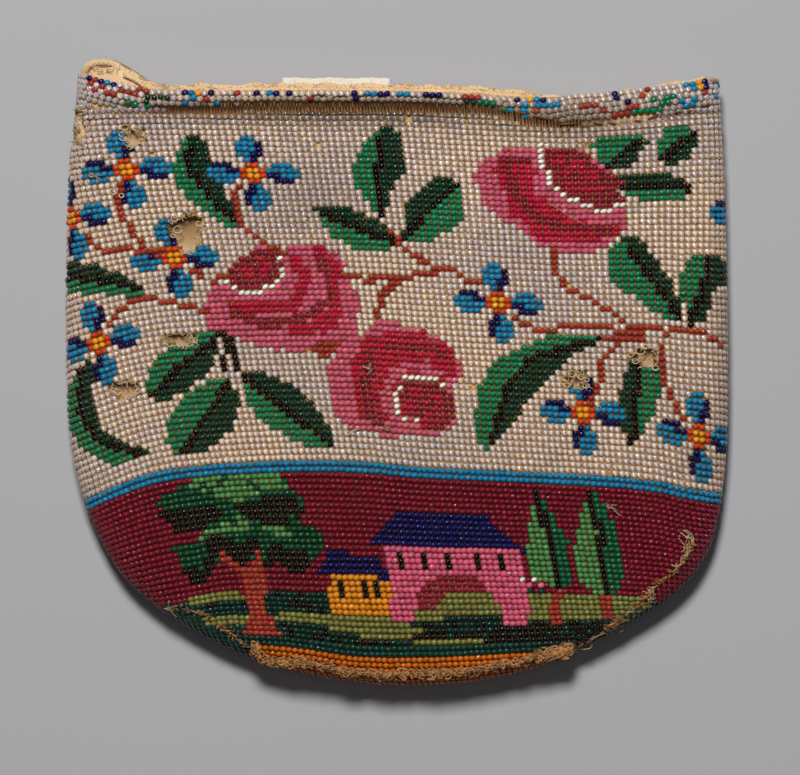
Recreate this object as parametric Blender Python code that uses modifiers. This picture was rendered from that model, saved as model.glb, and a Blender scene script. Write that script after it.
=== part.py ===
# Bead-knitted bag with a rounded bottom, lying flat with its front up.
# Metres, +Z up. X runs across the bag and +Y towards its mouth.

import math

import bmesh
import bpy
import numpy as np

# Driving sizes

BAG_WIDTH = 0.1765
BAG_LENGTH = 0.1628
BAG_THICKNESS = 0.0128
WALL = 0.0019
EDGE_ROLL = 0.0090
CROWN = 0.0010
SOFT_WAVE = 0.0004
WAVE_ACROSS = 0.021
WAVE_ALONG = 0.027
RIM_PROUD = 0.0011
RIM_WIDTH_SIDE = 0.0080
RIM_WIDTH_MIDDLE = 0.0032
GROOVE_WIDTH = 0.0042
GROOVE_DEPTH = 0.0008
MOUTH_OVERCUT = 0.004
FIELD_TOP_DROP = 0.004
HOLE_RAGGED = 0.14
HOLE_FRAYED = 0.08
LINING = 0.0005
CLEARANCE = 0.0003
FIELD_THICKNESS = 0.0006
FIELD_EDGE = 0.0016
BAND_WIDTH = 0.0029
STEM_WIDTH = 0.0017
TRUNK_WIDTH = 0.0031
PALE_LINE_WIDTH = 0.0016
FLOWER_REACH = 0.0098
FLOWER_HUB = 0.0034
FLOWER_EYE = 0.0019
FLOWER_TURN = math.radians(9)
WINDOW_WIDTH = 0.0016
WINDOW_HEIGHT = 0.0044
TAPE_LENGTH = 0.0286
TAPE_WIDTH = 0.0090
TAPE_THICKNESS = 0.0004
TAPE_SHOWS = 0.0018
BRAID_THICKNESS = 0.0029
BRAID_BUNDLE = 1.35
BRAID_BUNDLE_AT = 0.88
BRAID_BUNDLE_SPREAD = 0.07
BRAID_UNEVEN = 0.08

# The pattern chart of the bag: a unit is about a fifth of a bead, and y runs down

CHART_LEFT = 66
CHART_RIGHT = 728
CHART_TOP = 74
CHART_BOTTOM = 684
CHART_MIDDLE = (397, 371)
STEP_X = BAG_WIDTH / (CHART_RIGHT - CHART_LEFT)
STEP_Y = BAG_LENGTH / (CHART_BOTTOM - CHART_TOP)

# The bag's edge, from the left of the mouth round to the right, and its mouth
EDGE_POINTS = [
    (79, 70), (69, 170), (66, 330), (72, 450), (100, 538), (150, 601), (262, 661), (395, 684),
    (520, 671), (640, 617), (703, 560), (725, 470), (728, 330), (724, 170), (719, 70),
]
MOUTH_POINTS = [(60, 70), (79, 74), (130, 86), (200, 89), (400, 90), (540, 96), (620, 92), (719, 79), (740, 76)]
LINING_TOP_POINTS = [
    (60, 72), (84, 64), (103, 58), (122, 64), (150, 82), (200, 83), (300, 84), (400, 86),
    (500, 90), (575, 96), (640, 88), (700, 76), (740, 74),
]
BAND_POINTS = [(50, 520), (88, 504), (144, 481), (200, 471), (292, 466), (430, 473), (580, 480), (688, 494), (745, 503)]
BRAID_POINTS = [(260, 651), (300, 659), (340, 664), (395, 667), (450, 665), (500, 660), (530, 652), (566, 642)]
TAPE_MIDDLE = 336

# Places round the bag's edge where the walls bend most, measured in from the edge,
# and how many columns and rows the flatter part between them has
EDGE_STEPS = (0.0, 0.0008, 0.0026, 0.0055, 0.0095)
FLAT_COLUMNS = 8
FLAT_INNER_COLUMNS = 5
ROWS = 18
INNER_ROWS = 10

# Holes worn through the front: middle, half width, half height
WORN_HOLES = {
    "corner": ((133, 137), 11, 9),
    "upper": ((193, 235), 14, 18),
    "slit": ((181, 340), 17, 6),
    "lower": ((126, 388), 14, 8),
    "right": ((646, 357), 13, 10),
    "flower": ((576, 380), 11, 8),
}

FLOWERS = [(134, 171), (258, 175), (73, 226), (172, 259), (97, 341), (499, 300), (579, 411), (698, 435)]
FLOWERS_WITH_HOLES = {0: "corner", 3: "upper", 6: "flower"}
EDGE_FLOWER = 2

LEAVES = {
    "leaf_top_left": [[
        (195, 137), (204, 152), (216, 175), (229, 201), (238, 225), (222, 221), (203, 210), (186, 192), (177, 170),
        (182, 150)]],
    "leaves_middle": [
        [(385, 127), (398, 131), (407, 150), (404, 172), (392, 200), (397, 240), (380, 222), (357, 190), (350, 168),
         (362, 145)],
        [(314, 208), (335, 206), (360, 211), (385, 224), (399, 240), (385, 252), (362, 254), (330, 236)],
    ],
    "leaf_middle_right": [[
        (402, 243), (405, 205), (418, 190), (435, 178), (458, 181), (465, 204), (460, 222), (432, 240)]],
    "leaves_top_right": [
        [(604, 148), (611, 137), (630, 133), (657, 138), (656, 152), (640, 166), (611, 168)],
        [(640, 170), (652, 146), (666, 130), (692, 126), (697, 140), (690, 155), (676, 166), (655, 172)],
        [(632, 188), (641, 174), (662, 168), (690, 183), (696, 191), (680, 201), (650, 205)],
    ],
    "leaves_right": [
        [(608, 250), (622, 236), (640, 240), (655, 258), (670, 275), (680, 300), (684, 318), (668, 321), (648, 308),
         (630, 295), (612, 278)],
        [(676, 302), (680, 275), (692, 253), (708, 255), (714, 270), (712, 300), (703, 320), (686, 322)],
    ],
    "leaf_lower_middle": [[
        (484, 456), (476, 432), (475, 408), (480, 385), (495, 362), (520, 349), (552, 338), (600, 337), (590, 347),
        (560, 363), (535, 390), (512, 425), (494, 448)]],
    "leaf_lower_right": [[
        (630, 447), (621, 430), (618, 400), (624, 375), (635, 359), (650, 360), (657, 378), (655, 400), (648, 422),
        (639, 440)]],
    "leaves_under_rose": [
        [(148, 400), (146, 380), (155, 360), (172, 345), (195, 338), (222, 344), (222, 356), (206, 374), (188, 391),
         (165, 402)],
        [(175, 457), (167, 440), (168, 420), (180, 401), (205, 383), (232, 366), (240, 398), (234, 425), (214, 445),
         (195, 455)],
        [(228, 362), (265, 372), (290, 385), (308, 400), (323, 420), (330, 446), (308, 446), (283, 436), (260, 419),
         (243, 400)],
        [(213, 346), (226, 350), (238, 350), (242, 372), (232, 380), (218, 360)],
    ],
    "leaf_left_edge": [[(78, 271), (90, 263), (110, 270), (130, 280), (150, 291), (134, 296), (110, 294), (80, 290)]],
    "leaf_crescent": [[
        (80, 384), (72, 398), (72, 425), (88, 450), (115, 464), (140, 458), (150, 450), (125, 443), (105, 428),
        (95, 410), (89, 394)]],
}
LEAVES_WITH_HOLES = {"leaf_lower_right": "right", "leaves_under_rose": "slit"}

# Each rose: its outer petals, its heart, and the pale line between them
ROSES = {
    "left": (
        [(205, 303), (213, 286), (229, 284), (244, 295), (262, 295), (281, 287), (288, 279), (289, 250), (303, 243),
         (324, 244), (342, 256), (349, 275), (358, 297), (357, 318), (347, 337), (320, 342), (300, 350), (265, 350),
         (240, 340), (222, 330), (208, 322)],
        [(230, 283), (244, 294), (262, 294), (280, 286), (287, 278), (287, 252), (262, 246), (240, 260)],
        [(230, 281), (244, 294), (262, 294), (280, 286), (287, 278), (287, 256)],
    ),
    "lower": (
        [(380, 323), (405, 327), (444, 342), (460, 365), (455, 390), (459, 415), (446, 432), (400, 436), (375, 433),
         (342, 420), (331, 387), (337, 362), (360, 350), (368, 335)],
        [(404, 382), (434, 381), (444, 396), (444, 412), (432, 423), (416, 424), (400, 412), (394, 400), (397, 388)],
        [(434, 380), (405, 381), (397, 388), (394, 400), (400, 412), (416, 424)],
    ),
    "upper_right": (
        [(472, 180), (480, 165), (496, 154), (520, 150), (540, 150), (543, 169), (550, 184), (558, 194), (571, 204),
         (592, 210), (622, 210), (625, 222), (617, 235), (600, 247), (585, 252), (560, 252), (540, 242), (512, 225),
         (487, 207)],
        [(541, 148), (575, 148), (592, 156), (608, 173), (618, 190), (620, 208), (592, 210), (571, 204), (558, 194),
         (550, 184), (543, 169)],
        [(540, 152), (543, 169), (550, 184), (558, 194), (571, 204), (592, 210), (616, 210)],
    ),
}

STEMS = {
    "stem_top_left": [
        [(120, 192), (116, 200), (124, 216), (133, 230), (141, 242)],
        [(89, 243), (105, 253), (122, 252), (138, 238)],
    ],
    "stem_rose_left": [[(238, 194), (240, 205), (244, 216), (252, 228), (264, 238)]],
    "stem_left": [[(118, 314), (124, 309), (140, 304), (158, 304), (178, 307), (197, 311)]],
    "stem_middle": [
        [(360, 279), (400, 273), (430, 275), (460, 275), (477, 282)],
        [(405, 255), (425, 265), (446, 277)],
        [(404, 271), (384, 295), (374, 314)],
    ],
    "stem_right": [
        [(521, 321), (532, 326), (560, 326), (590, 326), (640, 337), (665, 336), (695, 333), (719, 341)],
        [(554, 259), (557, 271), (566, 283), (575, 292), (590, 300), (605, 309), (622, 321), (640, 338)],
        [(634, 335), (617, 345), (604, 358), (601, 372), (598, 385)],
        [(652, 336), (665, 352), (667, 375), (670, 390), (676, 402), (682, 411)],
    ],
}

# The landscape below the band
HORIZON_LEFT = [(50, 607), (165, 607), (190, 598), (243, 591), (330, 593)]
HORIZON_RIGHT = [(527, 593), (646, 598), (745, 600)]
MEADOW_TOP = [(50, 607), (165, 607), (190, 598), (243, 591), (330, 593), (331, 613), (392, 617), (394, 621),
              (530, 624), (622, 622), (640, 613), (646, 598), (745, 600)]
MEADOW_BOTTOM = [(745, 635), (600, 641), (575, 645), (530, 651), (480, 655), (420, 657), (355, 656), (300, 648),
                 (257, 644), (240, 650), (50, 650)]
ORANGE_STRIP = [(258, 645), (300, 649), (355, 657), (420, 658), (480, 656), (522, 652), (518, 656), (480, 661),
                (420, 664), (355, 662), (300, 655), (262, 649)]
HILL_MIDDLE = [(276, 616), (330, 617), (385, 625), (420, 631), (385, 638), (340, 632), (300, 625)]
HILL_RIGHT = [(530, 594), (646, 599), (640, 612), (622, 621), (530, 623)]
TREE_CROWN = [(163, 504), (178, 488), (210, 483), (240, 480), (275, 480), (303, 487), (306, 502), (322, 522),
              (318, 560), (290, 566), (262, 561), (235, 566), (205, 572), (183, 568), (178, 550), (187, 532),
              (172, 518)]
TREE_TRUNK = [(243, 569), (266, 567), (267, 600), (271, 622), (282, 631), (246, 633), (251, 615), (246, 595)]
OCHRE_HOUSE = [(328, 575), (387, 578), (389, 582), (393, 617), (330, 612)]
OCHRE_ROOF = [(317, 575), (329, 552), (379, 556), (387, 578)]
PINK_HOUSE = [(381, 544), (522, 551), (527, 575), (529, 623), (504, 622), (502, 606), (494, 592), (482, 583),
              (465, 576), (440, 576), (425, 585), (417, 596), (415, 606), (416, 621), (394, 620), (389, 582)]
ARCH_SHADE = [(425, 585), (440, 576), (465, 576), (482, 583), (494, 592), (502, 606), (504, 621), (416, 620),
              (415, 606), (417, 596)]
PINK_ROOF = [(372, 544), (394, 511), (488, 518), (523, 551)]
POPLARS = {
    "left": ([(535, 489), (545, 503), (558, 525), (568, 542), (572, 572), (565, 586), (556, 591), (544, 583),
              (529, 572), (527, 554), (530, 521)], (555, 592), (556, 612)),
    "right": ([(590, 492), (600, 501), (608, 511), (616, 528), (621, 560), (618, 585), (608, 594), (594, 592),
               (581, 580), (576, 560), (578, 535), (583, 512)], (607, 595), (608, 611)),
}
OCHRE_WINDOWS = [(343, 588), (363, 590), (380, 592)]
PINK_WINDOWS = [(402, 558), (427, 561), (451, 563), (475, 565), (500, 566)]

MIDDLE_HEIGHT = BAG_THICKNESS / 2
FIELD_LOW = CLEARANCE
FIELD_HIGH = CLEARANCE + FIELD_THICKNESS

# Colours

CRYSTAL = (0.60, 0.50, 0.42)
CREAM = (0.80, 0.62, 0.38)
WHITE = (0.86, 0.84, 0.78)
TAN = (0.50, 0.30, 0.14)
TURQUOISE = (0.01, 0.28, 0.50)
YELLOW = (0.80, 0.28, 0.02)
AMBER = (0.50, 0.16, 0.01)
PINK = (0.62, 0.09, 0.16)
CRIMSON = (0.30, 0.01, 0.03)
EMERALD = (0.01, 0.18, 0.09)
BRICK = (0.38, 0.06, 0.03)
MAROON = (0.16, 0.008, 0.02)
NAVY = (0.008, 0.012, 0.09)
OCHRE = (0.72, 0.33, 0.03)
OLIVE = (0.24, 0.25, 0.06)
DARK_GREEN = (0.005, 0.045, 0.035)


# Plane geometry

def across(chart_x):
    return (chart_x - CHART_MIDDLE[0]) * STEP_X


def along(chart_y):
    return (CHART_MIDDLE[1] - chart_y) * STEP_Y


def place(points):
    return np.array([(across(x), along(y)) for x, y in points])


def smooth_line(points, closed=False, steps=8):
    """A Catmull-Rom line through the points."""
    points = np.asarray(points, dtype=float)
    count = len(points)
    line = []
    for span in range(count if closed else count - 1):
        if closed:
            before, start, end, after = (points[(span + k) % count] for k in (-1, 0, 1, 2))
        else:
            start, end = points[span], points[span + 1]
            before = points[span - 1] if span > 0 else 2 * start - end
            after = points[span + 2] if span + 2 < count else 2 * end - start
        for t in np.arange(steps) / steps:
            line.append(0.5 * (2 * start + (end - before) * t
                               + (2 * before - 5 * start + 4 * end - after) * t ** 2
                               + (3 * start - before - 3 * end + after) * t ** 3))
    if not closed:
        line.append(points[-1])
    return np.array(line)


def normals_of(line):
    """Unit normals to the left of an open line's direction."""
    direction = np.gradient(line, axis=0)
    direction /= np.linalg.norm(direction, axis=1)[:, None]
    return np.column_stack([-direction[:, 1], direction[:, 0]])


def grown(outline, amount):
    """A closed outline moved outwards by amount, or inwards if it is negative."""
    x, y = outline[:, 0], outline[:, 1]
    turn = np.sum(x * np.roll(y, -1) - np.roll(x, -1) * y)
    side = -1 if turn > 0 else 1
    before = outline - np.roll(outline, 1, axis=0)
    after = np.roll(outline, -1, axis=0) - outline
    before /= np.linalg.norm(before, axis=1)[:, None]
    after /= np.linalg.norm(after, axis=1)[:, None]
    first = np.column_stack([-before[:, 1], before[:, 0]])
    second = np.column_stack([-after[:, 1], after[:, 0]])
    mitre = first + second
    mitre /= np.maximum(np.sum(mitre * first, axis=1), 0.5)[:, None]
    return outline + side * amount * mitre


def soft_shape(points):
    """A rounded closed outline through chart points."""
    return smooth_line(place(points), closed=True, steps=2)


def ribbon(points, width, steps=2):
    """The closed outline of a strip of a constant width along chart points."""
    line = smooth_line(place(points), steps=steps)
    side = normals_of(line) * width / 2
    return np.vstack([line + side, (line - side)[::-1]])


def worn_outline(name):
    """The ragged outline of a worn hole."""
    (middle_x, middle_y), half_width, half_height = WORN_HOLES[name]
    angles = np.linspace(0, 2 * math.pi, 14, endpoint=False)
    ragged = 1 + HOLE_RAGGED * np.sin(3 * angles + middle_x) + HOLE_FRAYED * np.sin(5 * angles + middle_y)
    x = across(middle_x) + half_width * STEP_X * ragged * np.cos(angles)
    y = along(middle_y) + half_height * STEP_Y * ragged * np.sin(angles)
    return np.column_stack([x, y])


def disc(middle, radius, count=10):
    angles = np.linspace(0, 2 * math.pi, count, endpoint=False)
    return np.column_stack([across(middle[0]) + radius * np.cos(angles), along(middle[1]) + radius * np.sin(angles)])


def petals(middle):
    """Four petals round a hub, as one outline."""
    angles = np.linspace(0, 2 * math.pi, 24, endpoint=False)
    reach = FLOWER_HUB + (FLOWER_REACH - FLOWER_HUB) * np.abs(np.cos(2 * (angles - FLOWER_TURN))) ** 3
    return np.column_stack([across(middle[0]) + reach * np.cos(angles), along(middle[1]) + reach * np.sin(angles)])


def window(middle):
    half = np.array([(-1, -1), (1, -1), (1, 1), (-1, 1)]) * (WINDOW_WIDTH / 2, WINDOW_HEIGHT / 2)
    return half + (across(middle[0]), along(middle[1]))


def distance_to(line, x, y):
    """The distance of each place (x, y) to a plane line."""
    spot = np.stack([x, y], axis=-1)[..., None, :]
    start = line[:-1]
    run = line[1:] - line[:-1]
    share = np.sum((spot - start) * run, axis=-1) / np.sum(run * run, axis=-1)
    nearest = start + np.clip(share, 0, 1)[..., None] * run
    return np.min(np.linalg.norm(spot - nearest, axis=-1), axis=-1)


EDGE = smooth_line(place(EDGE_POINTS))
MOUTH = smooth_line(place(MOUTH_POINTS))
LINING_TOP = smooth_line(place(LINING_TOP_POINTS))
FIELD_TOP = along(CHART_TOP) - RIM_WIDTH_SIDE - GROOVE_WIDTH - FIELD_TOP_DROP


# The form of the bag's walls

def edge_inset(inset):
    """The bag's edge moved inwards by inset."""
    return EDGE + normals_of(EDGE) * inset


def sides_at(edge, y):
    """The left and right x of an edge at a height y."""
    lowest = int(np.argmin(edge[:, 1]))
    left, right = edge[:lowest + 1], edge[lowest:]
    return np.interp(-y, -left[:, 1], left[:, 0]), np.interp(y, right[:, 1], right[:, 0])


def mouth_at(x):
    return np.interp(x, MOUTH[:, 0], MOUTH[:, 1])


def rim_width_at(x):
    share = np.clip(np.abs(x) / (BAG_WIDTH / 2), 0, 1)
    return RIM_WIDTH_MIDDLE + (RIM_WIDTH_SIDE - RIM_WIDTH_MIDDLE) * share ** 3


def rim_relief(x, y):
    """How far the rolled rim stands out, and the groove under it lies in."""
    below = mouth_at(x) - y
    rim = rim_width_at(x)
    roll = np.sqrt(np.clip(1 - (2 * below / rim - 1) ** 2, 0, 1))
    groove = np.sin(math.pi * np.clip((below - rim) / GROOVE_WIDTH, 0, 1)) ** 2
    return RIM_PROUD * roll - GROOVE_DEPTH * groove


def rise(depth, roll):
    """The share of the half thickness at a depth inside the edge."""
    return np.sqrt(np.clip(1 - (1 - np.clip(depth / roll, 0, 1)) ** 2, 0, 1))


def front_height(x, y, inset=0.0):
    """The front's height at (x, y), with the edge and the surface both inset."""
    depth = distance_to(EDGE, x, y) - inset
    half = BAG_THICKNESS - MIDDLE_HEIGHT - inset
    crown = CROWN * (1 - np.exp(-np.clip(depth, 0, None) / (3 * EDGE_ROLL)))
    wave = SOFT_WAVE * np.sin(x / WAVE_ACROSS + 0.6) * np.cos(y / WAVE_ALONG)
    return MIDDLE_HEIGHT + rise(depth, EDGE_ROLL - inset) * (half + crown + wave)


def back_height(x, y, inset=0.0):
    depth = distance_to(EDGE, x, y) - inset
    return MIDDLE_HEIGHT - (MIDDLE_HEIGHT - inset) * rise(depth, EDGE_ROLL - inset)


def above_front(x, y, lift):
    """Points that lie lift above the front, square to it."""
    probe = 0.0002
    slope_x = (front_height(x + probe, y) - front_height(x - probe, y)) / (2 * probe)
    slope_y = (front_height(x, y + probe) - front_height(x, y - probe)) / (2 * probe)
    up = np.stack([-slope_x, -slope_y, np.ones_like(x)], axis=-1)
    up /= np.linalg.norm(up, axis=-1)[..., None]
    return np.stack([x, y, front_height(x, y)], axis=-1) + up * lift


def column_places(left, right, flat_columns, trim=0.0):
    """The x of the columns of a row, closer together where the wall rolls under."""
    half = (right - left) / 2
    scale = min(1.0, half / (1.3 * EDGE_STEPS[-1]))
    near = np.array([max(step, trim) * scale for step in EDGE_STEPS if step > trim or step == EDGE_STEPS[0]])
    middle = np.linspace(left + near[-1], right - near[-1], flat_columns + 1)
    return np.concatenate([left + near, middle[1:-1], right - near[::-1]])


# Blender helpers

def clear_scene():
    for item in list(bpy.data.objects):
        bpy.data.objects.remove(item, do_unlink=True)


def new_collection(name):
    group = bpy.data.collections.new(name)
    bpy.context.scene.collection.children.link(group)
    return group


def finish_of(name, colour, roughness):
    finish = bpy.data.materials.new(name + "_finish")
    finish.use_nodes = True
    shader = finish.node_tree.nodes["Principled BSDF"]
    shader.inputs["Base Color"].default_value = (*colour, 1)
    shader.inputs["Roughness"].default_value = roughness
    shader.inputs["Metallic"].default_value = 0
    return finish


def add_part(name, mesh, colour, roughness=0.3):
    part = bpy.data.objects.new(name, mesh)
    bag_parts.objects.link(part)
    mesh.materials.clear()
    mesh.materials.append(finish_of(name, colour, roughness))
    return part


def add_cutter(name, mesh):
    cutter = bpy.data.objects.new(name, mesh)
    cutters.objects.link(cutter)
    cutter.hide_render = True
    cutter.display_type = "WIRE"
    return cutter


def boolean(target, cutter, operation):
    step = target.modifiers.new(f"{operation.lower()}_{cutter.name}", "BOOLEAN")
    step.operation = operation
    step.solver = "EXACT"
    step.object = cutter


def tidy_mesh(mesh):
    """Welds the loose edges of a mesh and turns all its faces outwards."""
    work = bmesh.new()
    work.from_mesh(mesh)
    bmesh.ops.remove_doubles(work, verts=work.verts, dist=0.00001)
    bmesh.ops.recalc_face_normals(work, faces=work.faces)
    if work.calc_volume(signed=True) < 0:
        bmesh.ops.reverse_faces(work, faces=work.faces)
    work.to_mesh(mesh)
    work.free()
    return mesh


def loft(name, rings, tip=None, capped_start=True, capped_end=False):
    """A closed tube of rings that all have one count of points."""
    ring = len(rings[0])
    points = np.vstack(rings)
    faces = []
    for row in range(len(rings) - 1):
        for k in range(ring):
            a = row * ring + k
            b = row * ring + (k + 1) % ring
            faces.append((a, b, b + ring, a + ring))
    last = (len(rings) - 1) * ring
    if tip is not None:
        points = np.vstack([points, tip])
        faces += [(last + k, last + (k + 1) % ring, len(points) - 1) for k in range(ring)]
    if capped_start:
        faces.append(tuple(range(ring - 1, -1, -1)))
    if capped_end:
        faces.append(tuple(range(last, last + ring)))
    mesh = bpy.data.meshes.new(name)
    mesh.from_pydata([tuple(map(float, point)) for point in points], [], faces)
    return tidy_mesh(mesh)


def prism(name, outline, low=-BAG_THICKNESS, high=2 * BAG_THICKNESS):
    """An upright cutter from low to high with a flat outline."""
    curve = bpy.data.curves.new(name, "CURVE")
    curve.dimensions = "2D"
    curve.fill_mode = "BOTH"
    curve.extrude = (high - low) / 2
    spline = curve.splines.new("POLY")
    spline.points.add(len(outline) - 1)
    for point, (x, y) in zip(spline.points, outline):
        point.co = (x, y, 0, 1)
    spline.use_cyclic_u = True
    drawn = bpy.data.objects.new(name + "_outline", curve)
    cutters.objects.link(drawn)
    bpy.context.view_layer.update()
    mesh = bpy.data.meshes.new_from_object(drawn.evaluated_get(bpy.context.evaluated_depsgraph_get()))
    bpy.data.objects.remove(drawn, do_unlink=True)
    for vertex in mesh.vertices:
        vertex.co.z += (high + low) / 2
    return add_cutter(name, tidy_mesh(mesh))


# The knitted bag, its lining and the hollow between the walls

def level_rows(bottom, count):
    """The y of straight rows from under the groove to the bottom, closer together there."""
    return bottom + (FIELD_TOP - bottom) * (1 - np.arange(count) / count) ** 1.7


def below_mouth(rim_share, further=0.0):
    """A row that follows the mouth, a share of the rim's width and a length below it."""
    return lambda x: mouth_at(x) - rim_share * rim_width_at(x) - further


def lining_edge(x):
    return np.interp(x, LINING_TOP[:, 0], LINING_TOP[:, 1])


def wall_rings(inset, rows, flat_columns, relief=False):
    """A ring of points round the bag for each row."""
    edge = edge_inset(inset)
    rings = []
    for row in rows:
        if callable(row):
            left = sides_at(edge, row(-BAG_WIDTH / 2))[0]
            right = sides_at(edge, row(BAG_WIDTH / 2))[1]
            x = column_places(left, right, flat_columns)
            y = row(x)
        else:
            left, right = sides_at(edge, row)
            x = column_places(left, right, flat_columns)
            y = np.full(len(x), row)
        front = front_height(x, y, inset)
        back = back_height(x, y, inset)
        if relief:
            front = front + rim_relief(x, y) * rise(distance_to(EDGE, x, y), EDGE_ROLL)
        front[[0, -1]] = MIDDLE_HEIGHT
        upper = np.column_stack([x, y, front])
        lower = np.column_stack([x, y, back])[-2:0:-1]
        rings.append(np.vstack([upper, lower]))
    lowest = edge[int(np.argmin(edge[:, 1]))]
    return rings, (lowest[0], lowest[1], MIDDLE_HEIGHT)


def inner_rows(first, inset):
    """The rows that the hollow and the lining share, under a first row of their own."""
    levels = level_rows(edge_inset(inset)[:, 1].min(), INNER_ROWS)
    return [first, below_mouth(0.3), below_mouth(1.0, GROOVE_WIDTH), *levels]


def make_bag():
    rows = [below_mouth(share) for share in (0.0, 0.12, 0.5, 0.88, 1.0)]
    rows += [below_mouth(1.0, GROOVE_WIDTH / 2), below_mouth(1.0, GROOVE_WIDTH)]
    rows += list(level_rows(EDGE[:, 1].min(), ROWS))
    rings, tip = wall_rings(0.0, rows, FLAT_COLUMNS, relief=True)
    bag = add_part("beaded_bag", loft("beaded_bag", rings, tip), CRYSTAL)
    rings, tip = wall_rings(WALL, inner_rows(below_mouth(0.0, -MOUTH_OVERCUT), WALL), FLAT_INNER_COLUMNS)
    boolean(bag, add_cutter("bag_hollow", loft("bag_hollow", rings, tip)), "DIFFERENCE")
    for name in WORN_HOLES:
        hole = prism("worn_hole_" + name, worn_outline(name), MIDDLE_HEIGHT, 2 * BAG_THICKNESS)
        boolean(bag, hole, "DIFFERENCE")


def make_lining():
    inset = WALL + CLEARANCE
    rings, tip = wall_rings(inset, inner_rows(lining_edge, inset), FLAT_INNER_COLUMNS)
    lining = add_part("lining_bag", loft("lining_bag", rings, tip, capped_start=False), CREAM, 0.9)
    cloth = lining.modifiers.new("cloth_thickness", "SOLIDIFY")
    cloth.thickness = LINING
    cloth.offset = -1


def make_tape():
    """The white tape that lies under the front of the lining at the mouth."""
    x = across(TAPE_MIDDLE) + np.linspace(-0.5, 0.5, 5) * TAPE_LENGTH
    top = lining_edge(x).mean() + TAPE_SHOWS
    rings = []
    for y in (top, top - TAPE_WIDTH / 2, top - TAPE_WIDTH):
        under = front_height(x, np.full(5, y), WALL + CLEARANCE) - LINING - CLEARANCE
        upper = np.column_stack([x, np.full(5, y), under])
        rings.append(np.vstack([upper, upper[::-1] - (0, 0, TAPE_THICKNESS)]))
    add_part("label_tape", loft("label_tape", rings, capped_end=True), WHITE, 0.8)


def make_braid():
    """The frayed braid left along the middle of the bottom edge."""
    line = smooth_line(place(BRAID_POINTS), steps=3)
    share = np.linspace(0, 1, len(line))
    bundle = 1 + (BRAID_BUNDLE - 1) * np.exp(-((share - BRAID_BUNDLE_AT) / BRAID_BUNDLE_SPREAD) ** 2)
    radius = BRAID_THICKNESS / 2 * bundle * (1 + BRAID_UNEVEN * np.sin(share * 60))
    curve = bpy.data.curves.new("bottom_braid", "CURVE")
    curve.dimensions = "3D"
    curve.bevel_depth = 1.0
    curve.bevel_resolution = 2
    curve.use_fill_caps = True
    spline = curve.splines.new("POLY")
    spline.points.add(len(line) - 1)
    for index, (x, y) in enumerate(line):
        lift = radius[index] + FIELD_HIGH + CLEARANCE
        middle = above_front(np.array([x]), np.array([y]), lift)[0]
        spline.points[index].co = (*middle, 1)
        spline.points[index].radius = radius[index]
    braid = bpy.data.objects.new("bottom_braid", curve)
    bag_parts.objects.link(braid)
    curve.materials.append(finish_of("bottom_braid", TAN, 0.9))


# The bead fields of the picture, thin plates that lie on the front

def make_skin():
    """The layer over the whole front that each field is cut from."""
    bottom = EDGE[:, 1].min()
    levels = level_rows(bottom, ROWS)
    first = below_mouth(1.0, GROOVE_WIDTH + CLEARANCE)
    rings = []
    for row in [first, *levels[levels > bottom + FIELD_EDGE]]:
        level = row(0.0) if callable(row) else row
        left, right = sides_at(EDGE, level)
        x = column_places(left, right, FLAT_COLUMNS, FIELD_EDGE)
        y = row(x) if callable(row) else np.full(len(x), row)
        upper = above_front(x, y, FIELD_HIGH)
        lower = above_front(x, y, FIELD_LOW)
        rings.append(np.vstack([upper, lower[::-1]]))
    return loft("field_skin", rings, capped_end=True)


def make_field(name, shapes, colour, cuts=(), holes=()):
    """A plate of the skin inside the shapes and outside the cuts."""
    part = add_part(name, skin.copy(), colour)
    shape = prism(name + "_shape", grown(shapes[0], -CLEARANCE / 2))
    for number, more in enumerate(shapes[1:], 2):
        boolean(shape, prism(f"{name}_shape_{number}", grown(more, -CLEARANCE / 2)), "UNION")
    boolean(part, shape, "INTERSECT")
    for number, cut in enumerate(cuts, 1):
        boolean(part, prism(f"{name}_cut_{number}", grown(cut, CLEARANCE / 2)), "DIFFERENCE")
    for hole in holes:
        boolean(part, cutters.objects["worn_hole_" + hole], "DIFFERENCE")


def make_flowers():
    for number, middle in enumerate(FLOWERS):
        holes = [FLOWERS_WITH_HOLES[number]] if number in FLOWERS_WITH_HOLES else []
        eye = disc(middle, FLOWER_EYE)
        if number == EDGE_FLOWER:
            make_field(f"forget_me_not_{number + 1}", [petals(middle)], TURQUOISE)
            continue
        make_field(f"forget_me_not_{number + 1}", [petals(middle)], TURQUOISE, [eye], holes)
        make_field(f"flower_eye_{number + 1}", [eye], YELLOW)


def make_leaves():
    for name, outlines in LEAVES.items():
        holes = [LEAVES_WITH_HOLES[name]] if name in LEAVES_WITH_HOLES else []
        make_field(name, [soft_shape(points) for points in outlines], EMERALD, holes=holes)


def make_roses():
    for name, (petal_points, heart_points, line_points) in ROSES.items():
        heart = soft_shape(heart_points)
        line = ribbon(line_points, PALE_LINE_WIDTH)
        make_field(f"rose_{name}_petals", [soft_shape(petal_points)], PINK, [heart, line])
        make_field(f"rose_{name}_heart", [heart], CRIMSON, [line])
        make_field(f"rose_{name}_pale_line", [line], WHITE)


def make_stems():
    for name, branches in STEMS.items():
        make_field(name, [ribbon(points, STEM_WIDTH) for points in branches], BRICK)


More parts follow.
